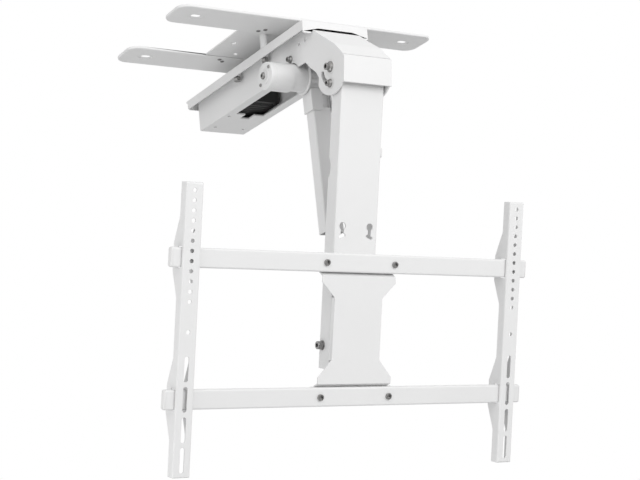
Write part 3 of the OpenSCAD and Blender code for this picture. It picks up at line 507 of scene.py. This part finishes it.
def hexHead(name, look):
    # A chamfered hexagon with a washer face, over a threaded shank
    d, h = look["head"], look["height"]
    flat = d * math.cos(halfTurn / 6) / 2
    head = prism(name, 6, d, 0.0, h, look.get("turn", 0.0))
    crown = lathe("crown", [(0.0, 0.0), (0.97 * flat, 0.0), (0.97 * flat, 0.35), (d / 2 + 0.4, 0.55),
                            (d / 2 + 0.4, h - 0.9), (0.93 * flat, h), (0.80 * flat, h), (0.76 * flat, h - 0.35),
                            (0.0, h - 0.35)])
    combine(head, crown, "INTERSECT")
    shank = look["shank"] / 2
    side = threadLine(shank, look["pitch"], 0.10 * shank, -look["length"] + 1.0, -look["plain"])
    stem = lathe("stem", [(0.0, -look["length"]), (shank - 0.8, -look["length"]), (shank, -look["length"] + 0.8)]
                 + side + [(shank, 0.5), (0.0, 0.5)])
    return combine(head, stem, "UNION")


def hexNut(name, look):
    # A nut with both faces chamfered and a countersunk bore
    d, h = look["head"], look["height"]
    flat = d * math.cos(halfTurn / 6) / 2
    bore = look["shank"] / 2
    nut = prism(name, 6, d, 0.0, h, look.get("turn", 0.0))
    crown = lathe("crown", [(0.0, 0.0), (0.95 * flat, 0.0), (d / 2 + 0.4, 0.8), (d / 2 + 0.4, h - 0.8),
                            (0.95 * flat, h), (0.0, h)])
    combine(nut, crown, "INTERSECT")
    drill = lathe("drill", [(0.0, -0.5), (bore + 0.9, -0.5), (bore, 0.7), (bore, h - 0.7), (bore + 0.9, h + 0.5),
                            (0.0, h + 0.5)])
    return combine(nut, drill, "DIFFERENCE")


def crossHead(name, look):
    # A small low head with a cross recess
    r, h = look["head"] / 2, look["height"]
    shank = look["shank"] / 2
    screw = lathe(name, [(0.0, -look["length"]), (shank, -look["length"]), (shank, 0.0), (look["seat"] * r, 0.0),
                         (r, look["rim"] * h), (0.97 * r, 0.6 * h), (0.80 * r, 0.88 * h), (0.5 * r, h),
                         (0.0, h)], 32)
    for turn in (0.0, halfTurn / 2):
        slot = slab("slot", (-0.62 * r, -0.11 * r, 0.45 * h), (0.62 * r, 0.11 * r, h + 1.0))
        slot.matrix_world = Matrix.Rotation(turn + look.get("turn", 0.0), 4, "Z")
        selectOnly(slot)
        bpy.ops.object.transform_apply(location=True, rotation=True, scale=True)
        combine(screw, slot, "DIFFERENCE")
    return screw


# Ceiling strips, tray, post, screen plate, uprights and collar: folded sheet with rolled bends

sheetLook = {"edge": 0.35, "steps": 2}
# For each sheet its bends: the axes, the radius, the steps and the lines they follow
foldLines = {
    "front_wing": [(ceilingAxes, 1.8, 4, [{"z": -4.5, "y": (-137, -135)}, {"z": -4.5, "y": (-64, -62)},
                                          {"z": -4.5, "side": (226, 248)}])],
    "rear_wing": [(ceilingAxes, 1.8, 4, [{"z": -4.5, "y": (135, 137)}, {"z": -4.5, "y": (62, 64)},
                                         {"z": -4.5, "side": (226, 248)}])],
    "centre_plate": [],
    "tray": [(ceilingAxes, 2.6, 4, [{"z": -30, "side": 62.8}, {"z": -30, "y": -201}, {"z": -30, "y": 233}]),
             (ceilingAxes, 1.0, 2, [{"z": -32.5, "side": 60.3}, {"z": -32.5, "y": -198.5},
                                    {"z": -32.5, "y": 230.5}])],
    "hanger_bracket": [(ceilingAxes, 2.0, 3, [{"z": -32.5, "side": 25.5}])],
    "post": [(postAxes, 4.5, 5, [{"side": 40, "y": -29}]), (postAxes, 1.5, 3, [{"side": 37, "y": -26}])],
    "post_spacers": [],
    "vesa_plate": [(bracketAxes, 2.6, 3, [{"side": 44.5, "y": 8}])],
    "upright_left": [(leftRailAxes, 3.0, 4, [{"side": 14.5, "y": 0}]),
                     (leftRailAxes, 1.0, 2, [{"side": 12.5, "y": 2}])],
    "upright_right": [(rightRailAxes, 3.0, 4, [{"side": 14.5, "y": 0}]),
                      (rightRailAxes, 1.0, 2, [{"side": 12.5, "y": 2}])],
    "gear_collar": [(driveAxes, 2.2, 3, [{"side": 21, "y": -15.5}])],
}


# The screen plate narrows a little where it comes out from under the bars
shoulderLook = {"half": 68.2, "out": 80.0, "top": -127.3, "low": -307.7, "reach": 26.0, "back": 40.0}


def cutShoulders(piece, look):
    for side in (-1, 1):
        xs = sorted((side * look["half"], side * look["out"]))
        for z0, z1 in ((look["top"] - look["reach"], look["top"]), (look["low"], look["low"] + look["reach"])):
            cut = slab("cut", (xs[0], 0.0, z0), (xs[1], look["back"], z1))
            combine(piece, settle(cut, bracketAxes, origin), "DIFFERENCE")


# Each upright's windows leave a dark line round the bars that pass through
windowLook = {"bars": (-112.0, -323.0), "half": 16.2, "near": 4.8, "far": 19.2, "out": 285.0, "in": 315.0}


def openWindows(piece, look, side):
    for z in look["bars"]:
        xs = sorted((side * look["out"], side * look["in"]))
        cut = slab("cut", (xs[0], look["near"], z - look["half"]), (xs[1], look["far"], z + look["half"]))
        combine(piece, settle(cut, bracketAxes, origin), "DIFFERENCE")


def foldSheets():
    for node, folds in foldLines.items():
        piece = mergedCopy(node, node + "Sheet")
        if node == "vesa_plate":
            cutShoulders(piece, shoulderLook)
        if node == "gear_collar":
            openCollar(piece, gearboxLook)
        if node.startswith("upright"):
            openWindows(piece, windowLook, -1 if node == "upright_left" else 1)
        for axes, radius, segments, lines in folds:
            roundLines(piece, radius, segments, onLines(axes, lines))
        softenEdges(piece, sheetLook["edge"], sheetLook["steps"])
        standFor(piece, node)
    print("sheets folded:", len(foldLines))


hoodLook = {"half": 45.0, "sideRadius": 5.5, "floorBend": 3.2, "floor": {"side": 45, "z": -91.5, "y": (-95.1, 220.1)},
            "edge": 0.35, "seam": 2.8, "seamDepth": 0.8, "seamUp": 0.9, "seamHalf": 50.0}
# Places down the hood's outer line, as (y, z)
hoodLine = {"bend": (-231.0, -69.0), "brow": (-262.0, -91.5), "nose": (-288.0, -119.5), "chin": (-280.5, -162.0)}


def makeHousing(look):
    # The channel, its cheeks and the hood in one folded and welded shell
    shell = mergedCopy("channel", "channelShell")
    combine(shell, mergedCopy("hood_cover", "hoodSheet"), "UNION")
    selectOnly(shell)
    bpy.ops.object.mode_set(mode="EDIT")
    bpy.ops.mesh.select_all(action="SELECT")
    bpy.ops.mesh.remove_doubles(threshold=0.01 * mm)
    bpy.ops.mesh.dissolve_limited(angle_limit=math.radians(0.5))
    bpy.ops.object.mode_set(mode="OBJECT")
    roundLines(shell, look["sideRadius"], 5, alongPath(look["half"], list(hoodLine.values())))
    roundLines(shell, look["floorBend"], 4, onLines(ceilingAxes, [look["floor"]]))
    # A seam across the hood, where its front overlaps its top
    y, z = hoodLine["nose"]
    half, depth, up = look["seamHalf"], look["seamDepth"], look["seamUp"]
    seam = slab("seam", (-half, -depth, up), (half, 3.0 * depth, up + look["seam"]))
    slope = Matrix.Rotation(math.atan2(hoodLine["brow"][1] - z, hoodLine["brow"][0] - y) - halfTurn / 2, 4, "X")
    settle(seam, ceilingAxes, (0.0, y, z), slope)
    combine(shell, seam, "DIFFERENCE")
    softenEdges(shell, look["edge"], 2)
    standFor(shell, "channel", "hood_cover")
    print("housing welded")


# Tubes, mouldings and machined parts that keep the CAD shape, with their edges eased

easedParts = {
    "tube": {"edge": 0.4, "steps": 2, "nodes": "crossbar_upper crossbar_lower rail"},
    "moulding": {"edge": 0.9, "steps": 3, "nodes": "post_side_clip rail_bush drive_nut pivot_bushes"},
    "machined": {"edge": 0.5, "steps": 2, "nodes": "gear_housing rod_eye rod rod_pin screw_bearing"},
}


gearboxLook = {"radius": 24.0, "half": 21.0, "round": 1.4, "gap": 1.3,
               "pocket": ((1.6, -13.0, -51.5), (16.4, -6.6, -27.0)),
               "notch": ((1.0, -20.0, -40.0), (25.0, -12.4, -16.0))}


def shapeGearbox(piece, look):
    # A pocket in the front beside the collar, and rounded rims on the drum
    pocket = settle(slab("pocket", *look["pocket"]), driveAxes, origin)
    combine(piece, pocket, "DIFFERENCE")
    toDrive = driveAxes.inverted()

    def onRim(vertex):
        point = toDrive @ vertex
        away = math.hypot(point.y, point.z) - look["radius"] * mm
        return abs(abs(point.x) - look["half"] * mm) < 0.06 * mm and abs(away) < 0.06 * mm

    roundLines(piece, look["round"], 4, lambda first, last: onRim(first) and onRim(last))


def openCollar(piece, look):
    # The collar's plate stops short of the drum and leaves the pocket open
    drum = prism("drum", 72, 2 * (look["radius"] + look["gap"]), -30.0, 30.0)
    combine(piece, settle(drum, driveAxes, origin, toRight), "DIFFERENCE")
    notch = settle(slab("notch", *look["notch"]), driveAxes, origin)
    combine(piece, notch, "DIFFERENCE")


railLook = {"end": -262.14, "zone": 22.0, "reach": 4.5}


def reachOut(piece, look):
    # The drive's tube and its bush reach a little lower than the solids do
    toDrive = driveAxes.inverted()
    down = driveAxes.to_3x3() @ Vector((0.0, 0.0, -look["reach"] * mm))
    for vertex in piece.data.vertices:
        if (toDrive @ vertex.co).z < (look["end"] + look["zone"]) * mm:
            vertex.co += down


def easeParts():
    for kind, look in easedParts.items():
        for node in look["nodes"].split():
            piece = mergedCopy(node, node + "Eased")
            if node == "gear_housing":
                shapeGearbox(piece, gearboxLook)
            if node in ("rail", "rail_bush"):
                reachOut(piece, railLook)
            softenEdges(piece, look["edge"], look["steps"])
            standFor(piece, node)
        print("edges eased:", kind)


capLook = {"end": 331.0, "nose": 2.7}


def makeEndCaps(look):
    # Plugs that run on flush from the bars, with round noses
    caps = mergedCopy("bar_end_caps", "endCaps")
    roundLines(caps, look["nose"], 6, onLines(bracketAxes, [{"side": look["end"]}]))
    evenShading(caps)
    standFor(caps, "bar_end_caps")
    print("end caps made")


# Standoffs: turned sleeves

standoffLook = {"x": 54.0, "frontY": -56.0, "backY": 46.0, "bore": 8.0,
                "high": {"low": -30.0, "high": -2.5, "diameter": 12.0},
                "under": {"low": -45.0, "high": -32.5, "diameter": 11.0}}


def sleeve(look, bore):
    # A tube with its rims chamfered
    r, b, low, high = look["diameter"] / 2, bore / 2, look["low"], look["high"]
    return lathe("sleeve", [(b, low + 0.5), (b + 0.5, low), (r - 0.5, low), (r, low + 0.5), (r, high - 0.5),
                            (r - 0.5, high), (b + 0.5, high), (b, high - 0.5), (b, low + 0.5)], 40)


def makeStandoffs(look):
    pieces = []
    for x in (-look["x"], look["x"]):
        pieces.append(settle(sleeve(look["high"], look["bore"]), ceilingAxes, (x, look["frontY"], 0.0)))
        for y in (look["frontY"], look["backY"]):
            pieces.append(settle(sleeve(look["under"], look["bore"]), ceilingAxes, (x, y, 0.0)))
    standFor(join("standoffSleeves", pieces), "standoffs")
    print("standoffs turned:", len(pieces))


# Bolts, nuts and screws

boltLooks = {
    "pivot": {"head": 18.0, "cap": 11.5, "height": 9.0, "shank": 10.0, "length": 15.3, "plain": 5.0, "pitch": 1.5,
              "socket": 7.4, "deep": 4.5},
    "guide": {"head": 14.0, "cap": 9.5, "height": 7.6, "shank": 8.0, "length": 14.1, "plain": 6.0, "pitch": 1.25,
              "socket": 6.0, "deep": 4.0},
    "bar": {"head": 10.2, "height": 3.5, "shank": 8.0, "length": 14.5, "plain": 5.0, "pitch": 1.25,
            "socket": 6.6, "deep": 2.8, "dome": 0.2},
    "tray": {"head": 13.0, "height": 8.0, "shank": 8.0, "length": 17.5, "plain": 4.0, "pitch": 1.25,
             "turn": halfTurn / 6},
    "cross": {"head": 13.0, "cap": 8.8, "height": 7.0, "shank": 8.0, "length": 96.0, "plain": 76.0, "pitch": 1.25,
              "socket": 6.4, "deep": 3.2},
    "rodPin": {"head": 13.0, "height": 8.3, "shank": 8.0, "length": 4.5, "plain": 2.0, "pitch": 1.25,
               "socket": 7.0, "deep": 4.5, "dome": 0.12},
    "motorEnd": {"head": 12.0, "height": 3.4, "shank": 5.0, "length": 2.5, "plain": 1.0, "pitch": 1.0,
                 "socket": 5.8, "deep": 2.4},
    "wing": {"head": 7.5, "height": 1.4, "shank": 4.9, "length": 4.2, "seat": 0.99, "rim": 0.1},
    "motor": {"head": 6.0, "height": 2.0, "shank": 3.0, "length": 0.0, "seat": 0.95, "rim": 0.1, "turn": 0.5},
}
nutLooks = {
    "pivot": {"head": 18.0, "height": 6.0, "shank": 10.0},
    "guide": {"head": 14.0, "height": 5.0, "shank": 8.0},
    "cross": {"head": 13.0, "height": 5.0, "shank": 8.0},
}


def spread(name, node, maker, look, axes, turns, spots):
    # One fastener made once and copied to each of its places, instead of its CAD node
    first = maker(name, look)
    pieces = []
    for at, turn in zip(spots, turns):
        pieces.append(settle(copyOf(first), axes, at, turn))
    bpy.data.objects.remove(first)
    standFor(join(name, pieces), node)
    print("fitted:", name, len(pieces))


def mirrored(x, y, z):
    return [(-x, y, z), (x, y, z)]


bothSides, downwards, frontwards = (toLeft, toRight), (toFloor,) * 8, (toFront,) * 4
motorScrewTurn = math.radians(146.0)
fasteners = [
    ("pivotBolts", "pivot_bolts", buttonHead, boltLooks["pivot"], ceilingAxes, bothSides,
     mirrored(46.0, -246.0, -126.0)),
    ("guideBolts", "guide_bolts", buttonHead, boltLooks["guide"], postAxes, bothSides, mirrored(46.1, -2.7, -26.4)),
    ("pivotNuts", "pivot_nuts", hexNut, nutLooks["pivot"], ceilingAxes, bothSides, mirrored(30.7, -246.0, -126.0)),
    ("guideNuts", "guide_nuts", hexNut, nutLooks["guide"], postAxes, bothSides, mirrored(32.0, -2.7, -26.4)),
    ("crossBolt", "cross_bolt", buttonHead, boltLooks["cross"], ceilingAxes, (toLeft,), [(-45.0, -125.0, -71.5)]),
    ("crossNut", "cross_nut", hexNut, nutLooks["cross"], ceilingAxes, (toRight,), [(45.0, -125.0, -71.5)]),
    ("barScrews", "bar_screws", buttonHead, boltLooks["bar"], bracketAxes, frontwards,
     [(x, 6.0, z) for x in (-63.5, 63.5) for z in (-112.0, -323.0)]),
    ("trayBolts", "tray_bolts", hexHead, boltLooks["tray"], ceilingAxes, downwards,
     [(x, y, -45.0) for x in (-54.0, 54.0) for y in (-56.0, 46.0)]),
    ("wingScrews", "wing_screws", crossHead, boltLooks["wing"], ceilingAxes, downwards,
     [(i * x, j * y, -4.5) for i in (-1, 1) for j in (-1, 1) for x, y in ((72.0, 73.0), (63.0, 81.0))]),
    ("motorScrews", "motor_screws", crossHead, boltLooks["motor"], driveAxes, (toLeft,) * 2,
     [(-97.0, 19.0 * i * math.cos(motorScrewTurn), 19.0 * i * math.sin(motorScrewTurn) - 2.0) for i in (1, -1)]),
]


washerLooks = {
    "pivot": {"outer": 23.0, "inner": 10.4, "thick": 1.0, "axes": ceilingAxes, "at": (45.0, -246.0, -126.0)},
    "guide": {"outer": 18.0, "inner": 8.4, "thick": 0.8, "axes": postAxes, "at": (45.3, -2.7, -26.4)},
    "rodPin": {"outer": 16.0, "inner": 8.4, "thick": 1.6, "axes": postAxes, "at": (40.0, -9.0, -443.0)},
}
rodPinSeats = mirrored(41.6, -9.0, -443.0)


def washerPair(look):
    # The same washer on both sides
    r, b, t = look["outer"] / 2, look["inner"] / 2, look["thick"]
    pieces = []
    for at, turn in zip(mirrored(*look["at"]), bothSides):
        washer = lathe("washer", [(b, 0.2), (b + 0.2, 0.0), (r - 0.2, 0.0), (r, 0.2), (r, t - 0.35), (r - 0.35, t),
                                  (b + 0.2, t), (b, t - 0.2), (b, 0.2)])
        pieces.append(settle(washer, look["axes"], at, turn))
    return pieces


def makeWashers():
    for kind, node in (("pivot", "pivot_bolts"), ("guide", "guide_bolts")):
        dress(join(kind + "Washers", washerPair(washerLooks[kind])), "white_plastic", bodyOf[node])
    # The rod's pin is held by cap screws over washers
    pieces = washerPair(washerLooks["rodPin"])
    for at, turn in zip(rodPinSeats, bothSides):
        pieces.append(settle(buttonHead("rodPinBolt", boltLooks["rodPin"]), postAxes, at, turn))
    standFor(join("rodPinBolts", pieces), "rod_pin_bolts")
    print("washers fitted")


# Drive: motor, trunnion and lead screw

motorLook = {"neck": 22.5, "can": 23.6, "end": -97.0, "start": -21.0, "step": -46.0, "taper": 10.0, "cap": 6.0,
             "shift": -2.0, "boss": 7.0, "bossOut": 2.6, "crescent": 14.5, "crescentIn": 10.5, "crescentOut": 1.5}


def makeMotor(look):
    # The neck in the hanger's ring, and the larger case with a crimped groove before its end cap
    neck = lathe("neck", [(0.0, -look["start"]), (look["neck"], -look["start"]), (look["neck"], 1.0 - look["step"]),
                          (0.0, 1.0 - look["step"])], 72)
    settle(neck, driveAxes, origin, toLeft)
    can, far, start = look["can"], -look["end"] - look["cap"], -look["step"]
    grow = [(look["neck"] + 0.05 + (can - look["neck"] - 0.05) * (0.5 - 0.5 * math.cos(halfTurn * i / 8)),
             start + look["taper"] * i / 8) for i in range(9)]
    case = lathe("case", [(0.0, start)] + grow + [
        (can, far - 5.0), (can - 0.35, far - 4.6), (can - 0.35, far - 3.6), (can, far - 3.2), (can, far - 0.3),
        (can - 0.3, far), (0.0, far)], 72)
    settle(case, driveAxes, (0.0, 0.0, look["shift"]), toLeft)
    # The case runs smoothly into its neck, which sits a little higher
    lift = driveAxes.to_3x3() @ Vector((0.0, 0.0, -look["shift"] * mm))
    for vertex in case.data.vertices:
        share = max(0.0, 1.0 - (look["step"] - vertex.co.x / mm) / look["taper"])
        vertex.co += lift * (0.5 - 0.5 * math.cos(halfTurn * min(1.0, share)))
    combine(case, neck, "UNION")
    case.name = "motorCase"
    evenShading(case)
    standFor(case, "motor_case")
    print("motor case turned")


def makeMotorEnd(look):
    # End cap with a boss, its bolt and a raised crescent round the boss
    far, end = -look["end"] - look["cap"], -look["end"]
    can, boss, bossTop = look["can"], look["boss"], end + look["bossOut"]
    cap = lathe("motorEnd", [(0.0, far), (can - 0.3, far), (can, far + 0.3), (can, end - 2.2), (can - 0.7, end - 0.7),
                             (can - 2.2, end), (boss + 0.6, end), (boss, end + 0.6), (boss, bossTop - 0.6),
                             (boss - 0.6, bossTop), (0.0, bossTop)], 72)
    inner, outer, top = look["crescentIn"], look["crescent"], end + look["crescentOut"]
    ring = lathe("crescent", [(inner, end - 1.0), (outer, end - 1.0), (outer, top - 0.4), (outer - 0.4, top),
                              (inner + 0.4, top), (inner, top - 0.4), (inner, end - 1.0)], 72)
    combine(ring, slab("half", (-30.0, 0.0, end - 5.0), (30.0, 30.0, end + 5.0)), "DIFFERENCE")
    combine(cap, ring, "UNION")
    settle(cap, driveAxes, (0.0, 0.0, look["shift"]), toLeft)
    evenShading(cap)
    standFor(cap, "motor_end_cap")
    bolt = buttonHead("motorEndBolt", boltLooks["motorEnd"])
    settle(bolt, driveAxes, (-bossTop, 0.0, look["shift"]), toLeft)
    dress(bolt, "zinc", bodyOf["motor_end_cap"])
    print("motor end turned")


trunnionLook = {"shaft": 6.0, "flange": 9.0, "start": 11.0, "seat": 25.8, "end": 28.8, "centre": 2.4}


def makeTrunnion(look):
    # Pin with a flanged head and a lathe centre
    shaft, flange, seat, end = look["shaft"], look["flange"], look["seat"], look["end"]
    pin = lathe("trunnion", [(0.0, look["start"]), (shaft, look["start"]), (shaft, seat), (flange - 0.3, seat),
                             (flange, seat + 0.3), (flange, end - 0.6), (flange - 0.6, end), (look["centre"], end),
                             (0.0, end - 1.6)])
    settle(pin, driveAxes, origin, toRight)
    standFor(pin, "trunnion_pin")
    print("trunnion turned")


leadLook = {"start": -30.0, "end": -238.1, "journal": -58.0, "radius": 5.0, "pitch": 3.0, "depth": 0.9}


def makeLeadScrew(look):
    # A plain journal in the bearing, then a trapezoidal thread
    r, low, high = look["radius"], look["end"], look["start"]
    line = [(0.0, low), (r - 1.2, low), (r, low + 1.2)]
    z = low + 2.0
    while z < look["journal"]:
        line += [(r, z + 0.9), (r - look["depth"], z + 1.3), (r - look["depth"], z + 2.1), (r, z + 2.5)]
        z += look["pitch"]
    line += [(r, z + 1.0), (r, high - 0.8), (r - 0.8, high), (0.0, high)]
    screw = settle(lathe("leadScrew", line, 32), driveAxes, origin)
    standFor(screw, "lead_screw")
    print("lead screw cut")


# Control box

boxLook = {"side": 36.0, "front": 60.0, "back": 200.0, "low": -82.5, "screwIn": 7.0, "seat": 6.4, "seatDeep": 1.8,
           "edge": 0.6, "inletEdge": 0.3}
boxScrewLook = {"head": 5.4, "height": 1.2, "shank": 2.6, "length": 0.2, "seat": 0.95, "rim": 0.1}


def makeBox(look):
    base = mergedCopy("control_box_base", "boxBase")
    softenEdges(base, look["edge"], 2)
    standFor(base, "control_box_base")
    # Four screws sit in seats that are cut through the cover's ribs
    cover = mergedCopy("control_box_cover", "boxCover")
    corners = [(i, y) for i in (-1, 1) for y in (look["front"] + look["screwIn"], look["back"] - look["screwIn"])]
    across = look["side"] - look["screwIn"]
    for i, y in corners:
        seat = prism("seat", 24, look["seat"], look["low"] - 1.0, look["low"] + look["seatDeep"])
        combine(cover, settle(seat, ceilingAxes, (i * across, y, 0.0)), "DIFFERENCE")
    softenEdges(cover, look["edge"], 2)
    standFor(cover, "control_box_cover")
    screws = []
    for i, y in corners:
        screw = crossHead("boxScrew", dict(boxScrewLook, turn=0.3 * i + 0.01 * y))
        screws.append(settle(screw, ceilingAxes, (i * across, y, look["low"] + look["seatDeep"]), toFloor))
    dress(join("boxScrews", screws), "zinc", bodyOf["control_box_cover"])
    inlet = mergedCopy("power_inlet", "inlet")
    softenEdges(inlet, look["inletEdge"], 2)
    standFor(inlet, "power_inlet")
    print("control box finished")


boardLook = {"under": -48.1, "edge": 0.8, "parts": [
    {"kind": "can", "at": (-18.0, 88.0), "diameter": 16.0, "height": 24.0},
    {"kind": "can", "at": (2.0, 84.0), "diameter": 10.0, "height": 14.0},
    {"kind": "can", "at": (15.0, 84.0), "diameter": 10.0, "height": 14.0},
    {"kind": "block", "at": (-17.0, 118.0), "size": (19.0, 15.5), "height": 15.0},
    {"kind": "block", "at": (6.0, 118.0), "size": (19.0, 15.5), "height": 15.0},
    {"kind": "block", "at": (20.0, 145.0), "size": (10.0, 24.0), "height": 11.0},
    {"kind": "block", "at": (-6.0, 146.0), "size": (22.0, 26.0), "height": 20.0},
]}


def makeBoardParts(look):
    # Capacitors, relays, a connector and a transformer under the circuit board
    pieces = []
    for part in look["parts"]:
        h = part["height"]
        if part["kind"] == "can":
            r = part["diameter"] / 2
            piece = lathe("can", [(0.0, 0.0), (r - 0.3, 0.0), (r, 0.4), (r, 1.6), (r - 0.5, 2.0), (r - 0.5, 2.6),
                                  (r, 3.0), (r, h - 0.6), (r - 0.6, h), (r - 1.6, h), (r - 1.8, h - 0.3),
                                  (0.0, h - 0.3)], 32)
        else:
            w, d = part["size"]
            piece = slab("block", (-w / 2, -d / 2, 0.0), (w / 2, d / 2, h))
            softenEdges(piece, look["edge"], 2)
        pieces.append(settle(piece, ceilingAxes, (*part["at"], look["under"]), toFloor))
    dress(join("boardParts", pieces), "black_plastic", bodyOf["circuit_board"])
    print("board parts:", len(pieces))


for node, obj in nodes.items():
    obj.data.materials.clear()
    obj.data.materials.append(finishes[slotOf[node]])
foldSheets()
makeHousing(hoodLook)
easeParts()
makeEndCaps(capLook)
makeStandoffs(standoffLook)
for row in fasteners:
    spread(*row)
makeWashers()
makeMotor(motorLook)
makeMotorEnd(motorLook)
makeTrunnion(trunnionLook)
makeLeadScrew(leadLook)
makeBox(boxLook)
makeBoardParts(boardLook)
print("all parts finished")


# Camera, light and floor

cameraLook = {"place": (-1.2655, -2.1414, -0.9074), "turn": 31.72, "tilt": 12.55, "roll": -5.14,
              "focal": 1489.4, "imageWidth": 640.0, "sensor": 36.0}


def addCamera(look):
    turn, tilt, roll = (math.radians(look[key]) for key in ("turn", "tilt", "roll"))
    ahead = Vector((math.sin(turn) * math.cos(tilt), math.cos(turn) * math.cos(tilt), math.sin(tilt)))
    level = Vector((math.cos(turn), -math.sin(turn), 0.0))
    above = level.cross(ahead)
    right = level * math.cos(roll) + above * math.sin(roll)
    up = above * math.cos(roll) - level * math.sin(roll)
    data = bpy.data.cameras.new("camera")
    data.sensor_width = look["sensor"]
    data.lens = look["sensor"] * look["focal"] / look["imageWidth"]
    data.clip_end = 50.0
    camera = bpy.data.objects.new("camera", data)
    bpy.context.scene.collection.objects.link(camera)
    camera.matrix_world = Matrix.Translation(look["place"]) @ Matrix((right, up, -ahead)).transposed().to_4x4()
    bpy.context.scene.camera = camera


lamps = [
    {"name": "keyLamp", "place": (0.1, -2.5, 0.35), "size": 1.6, "power": 22.0},
    {"name": "rightLamp", "place": (1.5, -2.2, 0.2), "size": 1.6, "power": 6.0},
    {"name": "leftLamp", "place": (-2.4, -0.7, 0.0), "size": 1.6, "power": 3.5},
    {"name": "highLamp", "place": (-1.6, -1.6, 0.9), "size": 1.6, "power": 5.5},
    {"name": "lowLamp", "place": (-1.4, 0.1, -1.1), "size": 1.0, "power": 5.0},
]
lampAim = Vector((0.0, -0.1, -0.35))


def addLamps():
    for look in lamps:
        data = bpy.data.lights.new(look["name"], "AREA")
        data.size = look["size"]
        data.energy = look["power"]
        lamp = bpy.data.objects.new(look["name"], data)
        bpy.context.scene.collection.objects.link(lamp)
        lamp.location = look["place"]
        lamp.rotation_euler = (lampAim - lamp.location).to_track_quat("-Z", "Y").to_euler()


worldLook = {"frontLight": 0.84, "backLight": 0.32, "shown": 1.0}


def addWorld(look):
    world = bpy.data.worlds.new("world")
    bpy.context.scene.world = world
    world.use_nodes = True
    tree = world.node_tree
    background = tree.nodes["Background"]
    background.inputs["Color"].default_value = (1.0, 1.0, 1.0, 1.0)
    rays = tree.nodes.new("ShaderNodeLightPath")
    strength = tree.nodes.new("ShaderNodeMapRange")
    # The light comes more from in front than from behind
    direction = tree.nodes.new("ShaderNodeTexCoord")
    split = tree.nodes.new("ShaderNodeSeparateXYZ")
    light = tree.nodes.new("ShaderNodeMapRange")
    light.inputs["From Min"].default_value = -1.0
    light.inputs["To Min"].default_value = look["frontLight"]
    light.inputs["To Max"].default_value = look["backLight"]
    tree.links.new(direction.outputs["Generated"], split.inputs["Vector"])
    tree.links.new(split.outputs["Y"], light.inputs["Value"])
    tree.links.new(light.outputs["Result"], strength.inputs["To Min"])
    # The camera, metal and glass see a plain white background instead
    strength.inputs["To Max"].default_value = look["shown"]
    seen = rays.outputs["Is Camera Ray"]
    for ray in ("Is Glossy Ray", "Is Transmission Ray"):
        either = tree.nodes.new("ShaderNodeMath")
        either.operation = "MAXIMUM"
        tree.links.new(seen, either.inputs[0])
        tree.links.new(rays.outputs[ray], either.inputs[1])
        seen = either.outputs[0]
    tree.links.new(seen, strength.inputs["Value"])
    tree.links.new(strength.outputs["Result"], background.inputs["Strength"])


floorLook = {"height": -1.9, "size": 14.0, "level": 0.80, "dark": 0.78, "cloud": 3.0, "rough": 0.8}


def addFloor(look):
    bpy.ops.object.select_all(action="DESELECT")
    bpy.ops.mesh.primitive_plane_add(size=look["size"], location=(0.0, 0.0, look["height"]))
    floor = bpy.context.object
    floor.name = "floor"
    tree = ShaderTree("floorPaint")
    cloud = tree.noise(look["cloud"], 2.0)
    tree.set(Base_Color=tree.blend(cloud, grey(look["level"]), grey(look["dark"])), Roughness=look["rough"])
    floor.data.materials.append(tree.material)


addCamera(cameraLook)
addLamps()
addWorld(worldLook)
addFloor(floorLook)
bpy.context.scene.view_settings.view_transform = "Standard"
print("stage ready")
